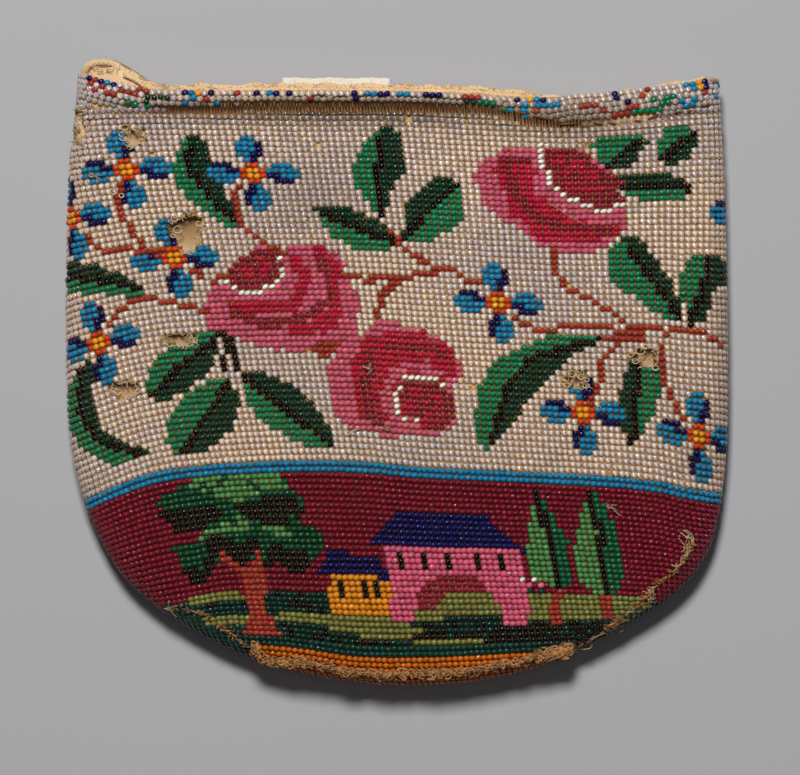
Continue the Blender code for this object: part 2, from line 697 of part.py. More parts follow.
def make_landscape():
    band = smooth_line(place(BAND_POINTS), steps=4)
    side = normals_of(band) * BAND_WIDTH / 2
    make_field("blue_band", [np.vstack([band + side, (band - side)[::-1]])], TURQUOISE)
    trunks = {}
    for name, (_, top, foot) in POPLARS.items():
        trunks[name] = ribbon([top, foot], TRUNK_WIDTH, steps=1)
    crown, trunk = soft_shape(TREE_CROWN), place(TREE_TRUNK)
    ochre_house, ochre_roof = place(OCHRE_HOUSE), place(OCHRE_ROOF)
    pink_house, pink_roof = place(PINK_HOUSE), place(PINK_ROOF)
    poplars = {name: soft_shape(points) for name, (points, _, _) in POPLARS.items()}
    hill_right = place(HILL_RIGHT)
    sky = np.vstack([band - side, place(HORIZON_RIGHT[::-1] + HORIZON_LEFT[::-1])])
    ochre_block = place(OCHRE_ROOF[:3] + OCHRE_HOUSE[1:] + OCHRE_HOUSE[:1])
    pink_block = place(PINK_ROOF + PINK_HOUSE[2:4] + PINK_HOUSE[-2:] + PINK_HOUSE[:1])
    sky_cuts = [crown, trunk, ochre_block, pink_block, *poplars.values(), *trunks.values()]
    make_field("evening_sky", [sky], MAROON, sky_cuts)
    make_field("tree_crown", [crown], EMERALD)
    make_field("tree_trunk", [trunk], BRICK, [crown])
    make_field("ochre_house", [ochre_house], OCHRE, [ochre_roof] + [window(spot) for spot in OCHRE_WINDOWS])
    make_field("ochre_roof", [ochre_roof], NAVY)
    make_field("pink_house", [pink_house], PINK, [pink_roof] + [window(spot) for spot in PINK_WINDOWS])
    make_field("pink_roof", [pink_roof], NAVY)
    make_field("arch_shade", [place(ARCH_SHADE)], CRIMSON)
    for name, outline in poplars.items():
        make_field("poplar_" + name, [outline], EMERALD)
        make_field(f"poplar_{name}_trunk", [trunks[name]], BRICK, [outline])
    hill_middle = soft_shape(HILL_MIDDLE)
    make_field("hill_middle", [hill_middle], OLIVE)
    make_field("hill_right", [hill_right], OLIVE, list(trunks.values()))
    make_field("meadow", [place(MEADOW_TOP + MEADOW_BOTTOM)], DARK_GREEN, [hill_middle, trunk])
    make_field("orange_strip", [place(ORANGE_STRIP)], AMBER)


clear_scene()
bag_parts = new_collection("beaded_bag_parts")
cutters = new_collection("cutters")
make_bag()
make_lining()
make_tape()
make_braid()
skin = make_skin()
make_landscape()
make_stems()
make_leaves()
make_roses()
make_flowers()
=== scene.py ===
import math

import bmesh
import bpy
import numpy as np
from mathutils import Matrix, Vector, kdtree


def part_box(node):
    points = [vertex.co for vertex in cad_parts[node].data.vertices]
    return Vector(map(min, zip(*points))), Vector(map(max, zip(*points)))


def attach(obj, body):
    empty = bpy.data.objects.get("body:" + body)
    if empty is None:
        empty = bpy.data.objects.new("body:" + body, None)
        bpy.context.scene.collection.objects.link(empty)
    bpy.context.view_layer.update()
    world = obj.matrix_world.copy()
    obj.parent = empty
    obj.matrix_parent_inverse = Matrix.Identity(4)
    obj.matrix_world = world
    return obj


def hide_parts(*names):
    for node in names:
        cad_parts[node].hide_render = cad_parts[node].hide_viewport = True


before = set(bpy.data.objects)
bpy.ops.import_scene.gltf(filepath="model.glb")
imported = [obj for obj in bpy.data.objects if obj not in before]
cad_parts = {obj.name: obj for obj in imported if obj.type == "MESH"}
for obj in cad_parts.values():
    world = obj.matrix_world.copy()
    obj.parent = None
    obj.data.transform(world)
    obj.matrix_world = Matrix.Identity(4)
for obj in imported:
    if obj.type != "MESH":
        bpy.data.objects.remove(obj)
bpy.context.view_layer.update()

# The form of the bag, the same values as in the solids
bag = dict(
    width=0.1765, length=0.1628, thickness=0.0128, edgeRoll=0.009, crown=0.001,
    softWave=0.0004, waveAcross=0.021, waveAlong=0.027,
    rimProud=0.0011, rimSide=0.008, rimMiddle=0.0032, grooveWidth=0.0042, grooveDepth=0.0008,
)
chart = dict(left=66, right=728, top=74, bottom=684, middleX=397, middleY=371)  # units of the pattern chart
stepX = bag["width"] / (chart["right"] - chart["left"])
stepY = bag["length"] / (chart["bottom"] - chart["top"])
middleHeight = bag["thickness"] / 2

edgePoints = [
    (80, 40), (79, 70), (69, 170), (66, 330), (72, 450), (100, 538), (150, 601), (262, 661), (395, 684),
    (520, 671), (640, 617), (703, 560), (725, 470), (728, 330), (724, 170), (719, 70), (718, 40),
]
mouthPoints = [
    (60, 70), (79, 74), (130, 86), (200, 89), (400, 90), (540, 96), (620, 92), (719, 79), (740, 76),
]
bandPoints = [
    (50, 520), (88, 504), (144, 481), (200, 471), (292, 466), (360, 467), (430, 473), (580, 480),
    (651, 486), (688, 494), (745, 503),
]

# Holes worn through the front: middle, half width, half height
wornHoles = dict(
    corner=((133, 137), 11, 9), upper=((188, 232), 15.5, 19), slit=((181, 340), 17, 6),
    lower=((126, 388), 14, 8), right=((646, 357), 13, 10), flower=((576, 380), 11, 8),
)


# The torn left corner of the mouth, where the beads and the cloth under them are gone
tornCorner = dict(beads=[(50, 108), (82, 110), (86, 128), (80, 146), (50, 146)],
                  cloth=[(50, 110), (80, 112), (84, 128), (78, 144), (50, 144)])


# Plane geometry

def across(chartX):
    return (chartX - chart["middleX"]) * stepX


def along(chartY):
    return (chart["middleY"] - chartY) * stepY


def chartOf(x, y):
    return chart["middleX"] + x / stepX, chart["middleY"] - y / stepY


def place(points):
    return np.array([(across(x), along(y)) for x, y in points])


def smoothLine(points, steps=8):
    # a smooth curve through every point
    points = np.asarray(points, dtype=float)
    line = []
    for span in range(len(points) - 1):
        start, end = points[span], points[span + 1]
        before = points[span - 1] if span > 0 else 2 * start - end
        after = points[span + 2] if span + 2 < len(points) else 2 * end - start
        for t in np.arange(steps) / steps:
            line.append(0.5 * (2 * start + (end - before) * t
                               + (2 * before - 5 * start + 4 * end - after) * t ** 2
                               + (3 * start - before - 3 * end + after) * t ** 3))
    return np.array(line + [points[-1]])


def nearestOn(line, x, y):
    # for each (x, y): distance, side (+1 to the left of the line), the nearest point, and the way left there
    spot = np.stack([x, y], axis=-1)
    start = line[:-1]
    run = line[1:] - line[:-1]
    share = np.clip(np.sum((spot[:, None] - start) * run, axis=-1) / np.sum(run * run, axis=-1), 0, 1)
    near = start + share[..., None] * run
    gap = np.linalg.norm(spot[:, None] - near, axis=-1)
    best = np.argmin(gap, axis=1)
    rows = np.arange(len(x))
    found = near[rows, best]
    away = spot - found
    side = np.sign(run[best, 0] * away[:, 1] - run[best, 1] * away[:, 0])
    left = np.column_stack([-run[best, 1], run[best, 0]])
    left /= np.linalg.norm(left, axis=1)[:, None]
    return gap[rows, best], side, found, left


def insideShape(points, x, y):
    points = np.asarray(points, dtype=float)
    hit = np.zeros(len(x), dtype=bool)
    for (ax, ay), (bx, by) in zip(points, np.roll(points, -1, axis=0)):
        if ay == by:
            continue
        hit ^= ((ay > y) != (by > y)) & (x < (bx - ax) * (y - ay) / (by - ay) + ax)
    return hit


def lineGap(points, x, y):
    return nearestOn(np.asarray(points, dtype=float), x, y)[0]


def sideOf(points, x, y):
    return nearestOn(np.asarray(points, dtype=float), x, y)[1]


def holeShape(name, grow=0.0):
    (middleX, middleY), halfWidth, halfHeight = wornHoles[name]
    angles = np.linspace(0, 2 * math.pi, 28, endpoint=False)
    ragged = 1 + 0.14 * np.sin(3 * angles + middleX) + 0.08 * np.sin(5 * angles + middleY)
    return np.column_stack([
        middleX + (halfWidth * ragged + grow) * np.cos(angles),
        middleY - (halfHeight * ragged + grow) * np.sin(angles)])


edgeLine = smoothLine(place(edgePoints))
mouthLine = smoothLine(place(mouthPoints))
bandLine = smoothLine(bandPoints)


# The pillow form: a flat plan is laid over the front or the back and rolls under at the edge

def ellipseTable(steps=400):
    angle = np.linspace(0, math.pi / 2, steps)
    depth = bag["edgeRoll"] * (1 - np.cos(angle))
    height = middleHeight * np.sin(angle)
    arc = np.concatenate([[0], np.cumsum(np.hypot(np.diff(depth), np.diff(height)))])
    return arc, depth


arcTable, depthTable = ellipseTable()
overhang = arcTable[-1] - bag["edgeRoll"]  # how much further the laid-out plan reaches than the outline


def curveAt(line, x):
    return np.interp(x, line[:, 0], line[:, 1])


def mouthAt(x):
    return curveAt(mouthLine, x)


def rimWidthAt(x):
    share = np.clip(np.abs(x) / (bag["width"] / 2), 0, 1)
    fold = np.clip((x - across(480)) / (across(560) - across(480)), 0, 1)  # the right end is folded wider
    fold = fold * fold * (3 - 2 * fold) * 0.72
    return bag["rimMiddle"] + (bag["rimSide"] - bag["rimMiddle"]) * np.maximum(share ** 3, fold)


def rimRelief(x, y):
    below = mouthAt(x) - y
    rim = rimWidthAt(x)
    roll = np.sin(math.pi * np.clip(below / rim, 0, 1)) ** 0.75
    groove = np.sin(math.pi * np.clip((below - rim) / bag["grooveWidth"], 0, 1)) ** 2
    return bag["rimProud"] * roll - bag["grooveDepth"] * groove


def softWave(x, y):
    return bag["softWave"] * np.sin(x / bag["waveAcross"] + 0.6) * np.cos(y / bag["waveAlong"])


def softCrown(depth):
    return bag["crown"] * (1 - np.exp(-np.clip(depth, 0, None) / (3 * bag["edgeRoll"])))


def pillow(u, v, side=1):
    # each plan place on the front (side 1) or the back (-1), and how far it lies from the rim of the plan
    gap, hand, found, left = nearestOn(edgeLine, u, v)
    hand = np.where(hand == 0, 1, hand)
    signed = gap * hand
    inward = np.where((gap > 0.0004)[:, None], (np.column_stack([u, v]) - found)
                      / np.maximum(gap, 1e-9)[:, None] * hand[:, None], left)
    reach = np.clip(signed + overhang, 0, None)
    depth = np.where(reach < arcTable[-1], np.interp(reach, arcTable, depthTable), signed)
    x = u + inward[:, 0] * (depth - signed)
    y = v + inward[:, 1] * (depth - signed)
    lift = np.sqrt(np.clip(1 - (1 - np.clip(depth / bag["edgeRoll"], 0, 1)) ** 2, 0, 1))
    if side > 0:
        rise = bag["thickness"] - middleHeight + softCrown(depth) + softWave(x, y) + rimRelief(x, y)
        z = middleHeight + lift * rise
    else:
        z = middleHeight - middleHeight * lift
    return np.column_stack([x, y, z]), signed + overhang


def pillowFrame(u, v, side=1):
    # each place with the direction of the rows, and the direction out of the bag
    probe = 0.0003
    spot, reach = pillow(u, v, side)
    rowWay = pillow(u + probe, v, side)[0] - pillow(u - probe, v, side)[0]
    columnWay = pillow(u, v + probe, side)[0] - pillow(u, v - probe, side)[0]
    out = np.cross(rowWay, columnWay) * side
    out /= np.maximum(np.linalg.norm(out, axis=1), 1e-12)[:, None]
    rowWay /= np.maximum(np.linalg.norm(rowWay, axis=1), 1e-12)[:, None]
    return spot, rowWay, out, reach


# Blender helpers

def linearColour(text):
    parts = [int(text[k:k + 2], 16) / 255 for k in (0, 2, 4)]
    return np.array([c / 12.92 if c <= 0.04045 else ((c + 0.055) / 1.055) ** 2.4 for c in parts])


class Wire:
    # a socket that takes part in Python sums; each sum adds its Math node

    def __init__(self, tree, socket):
        self.tree = tree
        self.socket = socket

    def maths(self, operation, *values):
        return self.tree.add("ShaderNodeMath", dict(operation=operation), dict(enumerate(values)))

    def __add__(self, other):
        return self.maths("ADD", self, other)

    def __sub__(self, other):
        return self.maths("SUBTRACT", self, other)

    def __rsub__(self, other):
        return self.maths("SUBTRACT", other, self)

    def __mul__(self, other):
        return self.maths("MULTIPLY", self, other)

    __radd__ = __add__
    __rmul__ = __mul__

    def clamp(self):
        return self.tree.add("ShaderNodeClamp", None, {"Value": self})

    def size(self):
        return self.maths("ABSOLUTE", self)

    def fraction(self):
        return self.maths("FRACT", self)

    def sine(self):
        return self.maths("SINE", self)

    def cosine(self):
        return self.maths("COSINE", self)


class Finish:
    # one procedural material

    def __init__(self, name, roughness=0.5, **constants):
        self.material = bpy.data.materials.new(name)
        self.material.use_nodes = True
        self.nodes = self.material.node_tree.nodes
        self.links = self.material.node_tree.links
        self.shader = self.nodes["Principled BSDF"]
        self.shader.inputs["Roughness"].default_value = roughness
        for key, value in constants.items():
            self.shader.inputs[key.replace("_", " ")].default_value = value

    def add(self, kind, settings=None, values=None, output=0):
        node = self.nodes.new(kind)
        for key, value in (settings or {}).items():
            setattr(node, key, value)
        for key, value in (values or {}).items():
            if isinstance(value, Wire):
                self.links.new(value.socket, node.inputs[key])
            else:
                node.inputs[key].default_value = value
        return Wire(self, node.outputs[output])

    def drive(self, key, wire):
        self.links.new(wire.socket, self.shader.inputs[key])
        return self

    def coordinates(self, scale=1.0):
        spot = self.add("ShaderNodeTexCoord", output="Object")
        return self.add("ShaderNodeMapping", None, {"Vector": spot, "Scale": (scale, scale, scale)})

    def noise(self, scale, detail=2.0):
        where = self.coordinates()
        return self.add("ShaderNodeTexNoise", None, {"Vector": where, "Scale": scale, "Detail": detail})

    def attribute(self, name, output=0):
        return self.add("ShaderNodeAttribute", dict(attribute_name=name), output=output)

    def parts(self, vector):
        split = self.add("ShaderNodeSeparateXYZ", None, {"Vector": vector}).socket.node
        return Wire(self, split.outputs[0]), Wire(self, split.outputs[1])

    def shaded(self, tone, shade):
        # the tone times another colour, as the colour of the surface
        return self.drive("Base Color", self.mix(1.0, tone, shade, "MULTIPLY"))

    def mix(self, factor, first, second, blend="MIX"):
        node = self.nodes.new("ShaderNodeMix")
        node.data_type = "RGBA"
        node.blend_type = blend
        for index, value in ((0, factor), (6, first), (7, second)):
            if isinstance(value, Wire):
                self.links.new(value.socket, node.inputs[index])
            else:
                node.inputs[index].default_value = value if index == 0 else (*value, 1)
        return Wire(self, node.outputs[2])

    def bump(self, height, distance, strength=1.0):
        values = {"Height": height, "Distance": distance, "Strength": strength}
        return self.drive("Normal", self.add("ShaderNodeBump", None, values))


def link(thing):
    bpy.context.scene.collection.objects.link(thing)
    return thing


def plainMesh(name, points, faces, finish, smooth=True):
    mesh = bpy.data.meshes.new(name)
    mesh.from_pydata([tuple(map(float, p)) for p in points], [], [tuple(map(int, f)) for f in faces])
    mesh.validate()
    piece = link(bpy.data.objects.new(name, mesh))
    mesh.materials.append(finish.material)
    if smooth:
        mesh.polygons.foreach_set("use_smooth", np.ones(len(mesh.polygons), dtype=bool))
    return piece


def applied(piece):
    # the piece as a plain mesh, its modifiers gone
    view = bpy.context.evaluated_depsgraph_get()
    mesh = bpy.data.meshes.new_from_object(
        piece.evaluated_get(view), preserve_all_data_layers=True, depsgraph=view)
    mesh.name = piece.name
    piece.modifiers.clear()
    piece.data = mesh
    return piece


def carry(piece, slot, *nodes):
    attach(piece, "root")
    if nodes:
        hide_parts(*nodes)
    return piece


def eulerTurn(first, third):
    # the Euler angles that turn X to the first way and Z to the third
    second = np.cross(third, first)
    return np.column_stack([
        np.arctan2(second[:, 2], third[:, 2]), -np.arcsin(np.clip(first[:, 2], -1, 1)),
        np.arctan2(first[:, 1], first[:, 0])])


def leaned(rowWay, side, tilt):
    return rowWay * np.cos(tilt)[:, None] + side * np.sin(tilt)[:, None]


def repeatTree(name, shape):
    # a tree that sets one small shape on every point of a mesh
    tree = bpy.data.node_groups.new(name, "GeometryNodeTree")
    face = tree.interface
    face.new_socket("Points", in_out="INPUT", socket_type="NodeSocketGeometry")
    face.new_socket("Result", in_out="OUTPUT", socket_type="NodeSocketGeometry")
    sockets = {}
    for label, kind in (("Sides", "Int"), ("Rings", "Int"), ("Finish", "Material")):
        sockets[label] = face.new_socket(label, in_out="INPUT", socket_type="NodeSocket" + kind).identifier

    def node(kind, values, dataType=None):
        made = tree.nodes.new(kind)
        if dataType:
            made.data_type = dataType
        for key, value in values.items():
            if isinstance(value, bpy.types.NodeSocket):
                tree.links.new(value, made.inputs[key])
            else:
                made.inputs[key].default_value = value
        return made.outputs[0]

    start = tree.nodes.new("NodeGroupInput").outputs
    if shape == "bead":
        unit = node("GeometryNodeMeshUVSphere",
                    {"Radius": 0.5, "Segments": start["Sides"], "Rings": start["Rings"]})
    else:
        unit = node("GeometryNodeMeshCylinder", {"Radius": 0.5, "Depth": 1.0, "Vertices": start["Sides"],
                                                 "Side Segments": start["Rings"]})
    unit = node("GeometryNodeStoreNamedAttribute", {
        "Name": "beadSpot", "Geometry": unit, "Value": node("GeometryNodeInputPosition", {})}, "FLOAT_VECTOR")
    unit = node("GeometryNodeSetShadeSmooth", {"Geometry": unit})
    turn, size = (node("GeometryNodeInputNamedAttribute", {"Name": label}, "FLOAT_VECTOR")
                  for label in ("beadTurn", "beadSize"))
    placed = node("GeometryNodeInstanceOnPoints", {
        "Points": start["Points"], "Instance": unit, "Scale": size,
        "Rotation": node("FunctionNodeEulerToRotation", {0: turn})})
    real = node("GeometryNodeRealizeInstances", {0: placed})
    painted = node("GeometryNodeSetMaterial", {"Geometry": real, "Material": start["Finish"]})
    tree.links.new(painted, tree.nodes.new("NodeGroupOutput").inputs[0])
    return tree, sockets


trees = {shape: repeatTree(shape + "OnEachPoint", shape) for shape in ("bead", "strand")}


def paintPoints(piece, name, tint):
    # a colour for every point of a piece, which its material multiplies by
    layer = piece.data.attributes.new(name, "FLOAT_COLOR", "POINT")
    four = np.column_stack([tint, np.ones(len(tint))])
    layer.data.foreach_set("color", four.astype(np.float32).ravel())
    return piece


def scatter(name, shape, spots, turns, sizes, colours, finish, sides, rings):
    # one small shape on every spot, each with its own turn, size and colour
    mesh = bpy.data.meshes.new(name + "Points")
    mesh.from_pydata([tuple(map(float, p)) for p in spots], [], [])
    for label, values in (("beadTurn", turns), ("beadSize", sizes)):
        layer = mesh.attributes.new(label, "FLOAT_VECTOR", "POINT")
        layer.data.foreach_set("vector", np.ascontiguousarray(values, dtype=np.float32).ravel())
    piece = paintPoints(link(bpy.data.objects.new(name, mesh)), "beadColour", colours)
    tree, sockets = trees[shape]
    step = piece.modifiers.new("repeat", "NODES")
    step.node_group = tree
    step[sockets["Sides"]] = sides
    step[sockets["Rings"]] = rings
    step[sockets["Finish"]] = finish.material
    applied(piece)
    for label in ("beadTurn", "beadSize"):
        if label in piece.data.attributes:
            piece.data.attributes.remove(piece.data.attributes[label])
    return piece


print("helpers ready")

# Finishes

colours = dict(
    crystal="c3b3ab", turquoise="067fb0", navy="090b50", yellow="f2a01c", orangeRed="d03f16",
    pink="cc5874", crimson="ba0d38", ruby="8a1430", white="faf7f0", emerald="05784e", leafGreen="4a8a4c",
    crownGreen="06492b", poplarGreen="065c38", darkGreen="033627", pine="033029", black="040405",
    teal="064037",
    olive="767d3e", brick="a3352a", maroon="7c1029", ochre="de8819", amber="cc650c", housePink="d65a78",
)
palette = {name: linearColour(text) for name, text in colours.items()}


glassGloss = dict(Coat_Weight=0.8, Coat_Roughness=0.06, Coat_IOR=1.5, Specular_IOR_Level=0.1)
yarnGloss = dict(Sheen_Weight=0.02, Specular_IOR_Level=0.1)


def glassFinish(name):
    # opaque glass, a little cloudy
    finish = Finish(name, 0.25, **glassGloss)
    cloud = finish.noise(1400.0, 1.0)
    finish.shaded(finish.attribute("beadColour"), finish.mix(cloud * 0.45, (1, 1, 1), (0.62, 0.62, 0.66)))
    finish.drive("Roughness", cloud * 0.16 + 0.2)
    return finish


def crystalFinish(name):
    # clear glass: the yarn shows golden at its edge, and a painted highlight, a slanting white band, stands
    # for the light that gathers in the glass
    settings = dict(paintedStreak=(0.98, 0.96, 0.95), yarn=(0.66, 0.42, 0.20), width=0.105, length=0.44, offset=0.05)
    finish = Finish(name, 0.2, **glassGloss)
    tone = finish.attribute("beadColour")
    wide, deep = finish.parts(finish.attribute("beadSpot", 1))
    fromLine = (wide + settings["offset"]).size()
    # painted highlight: a white band along each bead, dimmer on the darker beads
    paintedStreak = (1 - fromLine * (1 / settings["width"])).clamp()
    paintedStreak = paintedStreak * (1.6 - deep.size() * (1.6 / settings["length"])).clamp()
    edge = (wide * wide + deep * deep) * 4
    body = finish.mix(edge * 0.35, tone, settings["yarn"])
    cloud = finish.noise(900.0, 1.0)
    bright = finish.add("ShaderNodeVectorMath", dict(operation="LENGTH"), {0: tone}, output=1)
    finish.drive("Base Color", finish.mix((paintedStreak * cloud * bright * 2.4).clamp(), body, settings["paintedStreak"]))
    finish.drive("Roughness", cloud * 0.14 + 0.06)
    return finish


def yarnFinish(name, light, dark, scale=2600.0):
    # loose yarn, browner in patches
    finish = Finish(name, 0.85, **yarnGloss)
    fibre = finish.noise(scale, 4.0)
    patch = finish.noise(160.0, 3.0)
    tone = finish.mix(fibre, dark, light)
    tone = finish.mix(patch * 0.4, tone, (0.20, 0.11, 0.05))
    finish.shaded(tone, finish.attribute("beadColour"))
    finish.bump(fibre, 0.00012, 0.8)
    return finish


def knitFinish():
    # the stitches of the ground, one V to each bead, read from the ground's own map
    settings = dict(light=(0.86, 0.62, 0.36), dark=(0.44, 0.28, 0.13))
    finish = Finish("knitYarn", 0.85, **yarnGloss)
    column, row = finish.parts(finish.add("ShaderNodeUVMap", dict(uv_map="stitches")))
    arm = (column.fraction() - 0.5).size()
    wave = ((row + arm * 1.1) * (2 * math.pi)).sine()
    rib = (arm * (2 * math.pi)).cosine()
    fibre = finish.noise(2400.0, 3.0)
    height = wave * 0.3 + rib * 0.35 + fibre * 0.5
    # painted shade: the yarn paler on the tops of the stitches and darker where they sink, with the fibres'
    # own tone
    tone = finish.mix(height * 0.7 + 0.1, settings["dark"], settings["light"])
    finish.shaded(tone, finish.attribute("shade"))
    finish.bump(height, 0.00025)
    return finish


def clothFinish(name, tone, stain, threads=5200.0):
    # woven cloth with a stain in patches and shallow creases
    finish = Finish(name, 0.9, Sheen_Weight=0.15)
    warp, weft = finish.parts(finish.coordinates(threads))
    weave = warp.sine() * weft.sine()
    fibre = finish.noise(3000.0, 3.0)
    patch = finish.noise(90.0, 4.0)
    fold = finish.noise(420.0, 3.0)
    base = finish.mix(patch * 1.3 - 0.15, tone, stain)
    worn = finish.mix(weave * 0.15 + fibre * 0.35 + fold * 0.3, (1, 1, 1), (0.68, 0.60, 0.50))
    base = finish.mix(1.0, base, worn, "MULTIPLY")
    finish.shaded(base, finish.attribute("shade"))
    finish.bump(weave * 0.4 + fibre * 0.6 + fold * 2.0, 0.00016)
    return finish


crystalGlass = crystalFinish("crystalGlass")
opaqueGlass = glassFinish("opaqueGlass")
knitYarn = knitFinish()
strandYarn = yarnFinish("strandYarn", (0.88, 0.58, 0.27), (0.58, 0.33, 0.13))
frayYarn = yarnFinish("frayYarn", (0.86, 0.70, 0.46), (0.50, 0.34, 0.17))
braidYarn = yarnFinish("braidYarn", (0.66, 0.34, 0.13), (0.22, 0.09, 0.03), 1800.0)
stitchYarn = yarnFinish("stitchYarn", (0.22, 0.11, 0.04), (0.07, 0.035, 0.015))
liningCloth = clothFinish("liningCloth", (0.96, 0.72, 0.44), (0.70, 0.46, 0.23))
tapeCloth = clothFinish("tapeCloth", (0.97, 0.93, 0.85), (0.86, 0.80, 0.68), 7000.0)

# The bead pattern of the front. Chart units; each outline is a field of the picture.

rowKeys = [
    (0,
     [(20, 101), (85, 100), (160, 100), (300, 103), (400, 103), (520, 108), (600, 108), (715, 98),
      (780, 94)]),
    (64.5, bandPoints),
    (85.5,
     [(40, 640), (120, 612), (190, 597), (240, 590), (330, 592), (527, 593), (646, 597), (700, 606),
      (770, 622)]),
    (96.5,
     [(40, 668), (200, 646), (257, 645), (300, 648), (355, 656), (420, 657), (480, 655), (520, 653),
      (640, 650), (770, 660)]),
    (107.5, [(40, 728), (200, 706), (300, 710), (355, 718), (420, 719), (520, 715), (770, 722)]),
]
rowLines = [(row, smoothLine(points)) for row, points in rowKeys]


def rowHeight(row, x):
    # the chart y of a knitted row at each chart x
    keys = np.array([key for key, _ in rowLines], dtype=float)
    heights = np.array([curveAt(line, x) for _, line in rowLines])
    span = int(np.clip(np.searchsorted(keys, row, side="right") - 1, 0, len(keys) - 2))
    share = (row - keys[span]) / (keys[span + 1] - keys[span])
    if span == 0:
        share = share * (0.92 + 0.08 * share)
    return heights[span] + (heights[span + 1] - heights[span]) * share


columnPitch = 6.3  # chart units from bead to bead along a row, on the average


def columnPlace(column, y):
    # the chart x of a knitted column at each chart y, and the pitch there
    pitch = np.interp(y, [95, 150, 270, 400, 480, 700], [6.8, 6.7, 6.35, 6.1, 5.92, 5.85])
    lean = np.where(y < 450, 0.14 * (y - 300), 21 + 0.19 * (y - 450))
    return chart["middleX"] + lean + (column + 0.5) * pitch, pitch


def lattice(side):
    # every bead of one side: its place in the laid-out plan, row, width and column
    settings = dict(columns=(-90, 80), rows=(-1, 112), rounds=3)
    found = []
    columns = np.arange(*settings["columns"])
    for row in range(*settings["rows"]):
        x = chart["middleX"] + columns * columnPitch
        for _ in range(settings["rounds"]):
            y = rowHeight(row, x)
            x, pitch = columnPlace(columns, y)
        found.append(np.column_stack([x, y, np.full(len(x), row), pitch, columns]))
    spots = np.vstack(found)
    if side < 0:
        spots[:, 0] = 2 * chart["middleX"] - spots[:, 0]
    return spots


leaves = [  # outline, midrib, a place on the light side
    ([(199, 133), (207, 148), (213, 165), (221, 185), (229, 200), (238, 215), (245, 228), (232, 228),
      (218, 222), (203, 210), (190, 200), (180, 189), (172, 176), (172, 165), (178, 152), (186, 138)],
     [(189, 150), (189, 170), (199, 184), (212, 200), (226, 214), (242, 227)], (178, 172)),
    ([(385, 127), (398, 131), (405, 145), (407, 165), (398, 180), (390, 197), (384, 215), (380, 222),
      (370, 205), (357, 190), (350, 170), (362, 145), (375, 132)], [(379, 140), (378, 170), (383, 224)],
     (357, 180)),
    ([(313, 210), (320, 204), (335, 206), (357, 211), (385, 225), (395, 238), (393, 246), (385, 252),
      (365, 254), (345, 244), (330, 236), (322, 222)], [(322, 214), (355, 228), (397, 242)], (350, 246)),
    ([(403, 242), (405, 205), (418, 190), (435, 178), (455, 180), (463, 195), (465, 205), (460, 222),
      (450, 230), (432, 240), (415, 243)], [(403, 240), (425, 214), (455, 186)], (452, 224)),
    ([(592, 147), (605, 135), (645, 133), (648, 143), (640, 155), (630, 168), (608, 172), (602, 165)],
     [(646, 138), (626, 150), (606, 168)], (606, 142)),
    ([(657, 160), (655, 145), (664, 130), (692, 125), (697, 140), (692, 155), (680, 163), (665, 165)],
     [(660, 163), (676, 148), (694, 134)], (662, 136)),
    ([(612, 186), (625, 174), (660, 172), (690, 183), (697, 190), (683, 200), (650, 205), (632, 197)],
     [(612, 187), (650, 187), (695, 189)], (650, 201)),
    ([(608, 250), (622, 236), (640, 240), (655, 258), (668, 275), (678, 300), (682, 318), (668, 322),
      (650, 308), (630, 295), (612, 280)], [(628, 250), (652, 280), (682, 320)], (615, 272)),
    ([(683, 300), (682, 275), (691, 253), (712, 253), (729, 262), (729, 290), (716, 284), (711, 300),
      (704, 322), (690, 326)], [(709, 256), (703, 290), (688, 326)], (686, 282)),
    ([(484, 458), (476, 430), (475, 410), (480, 385), (495, 360), (520, 347), (550, 335), (600, 335),
      (605, 338), (590, 347), (565, 360), (545, 380), (530, 400), (510, 425), (490, 450)],
     [(490, 450), (505, 392), (530, 358), (600, 340)], (480, 400)),
    ([(628, 447), (622, 430), (618, 400), (625, 375), (632, 355), (645, 345), (660, 372), (658, 400),
      (650, 420), (637, 440)], [(640, 350), (636, 400), (632, 446)], (652, 400)),
    ([(148, 400), (146, 380), (155, 360), (172, 345), (195, 332), (218, 335), (220, 345), (210, 370),
      (190, 390), (165, 402)], [(150, 400), (176, 370), (218, 340)], (156, 364)),
    ([(175, 458), (166, 440), (168, 420), (180, 400), (205, 382), (228, 378), (240, 400), (235, 425),
      (215, 445), (195, 455)], [(180, 457), (204, 420), (230, 380)], (172, 420)),
    ([(240, 372), (265, 372), (290, 385), (310, 400), (325, 420), (335, 447), (310, 448), (285, 437),
      (262, 420), (245, 400)], [(243, 376), (285, 408), (330, 444)], (262, 418)),
    ([(60, 265), (85, 262), (110, 270), (130, 280), (150, 291), (135, 297), (110, 295), (75, 293),
      (60, 288)], [(60, 275), (105, 281), (148, 291)], (100, 292)),
    ([(90, 357), (76, 372), (68, 390), (62, 410), (68, 430), (88, 454), (115, 465), (140, 458), (150, 450),
      (125, 445), (105, 430), (95, 410), (92, 390), (92, 370)],
     [(82, 370), (80, 410), (96, 440), (142, 456)], (68, 432)),
]

flowers = [
    (128.5, 168), (255.8, 174), (73.3, 218.6), (172.7, 259.7), (98, 341), (499.2, 300.3), (579.6, 411.7),
    (699.6, 434.8), (731, 211),
]

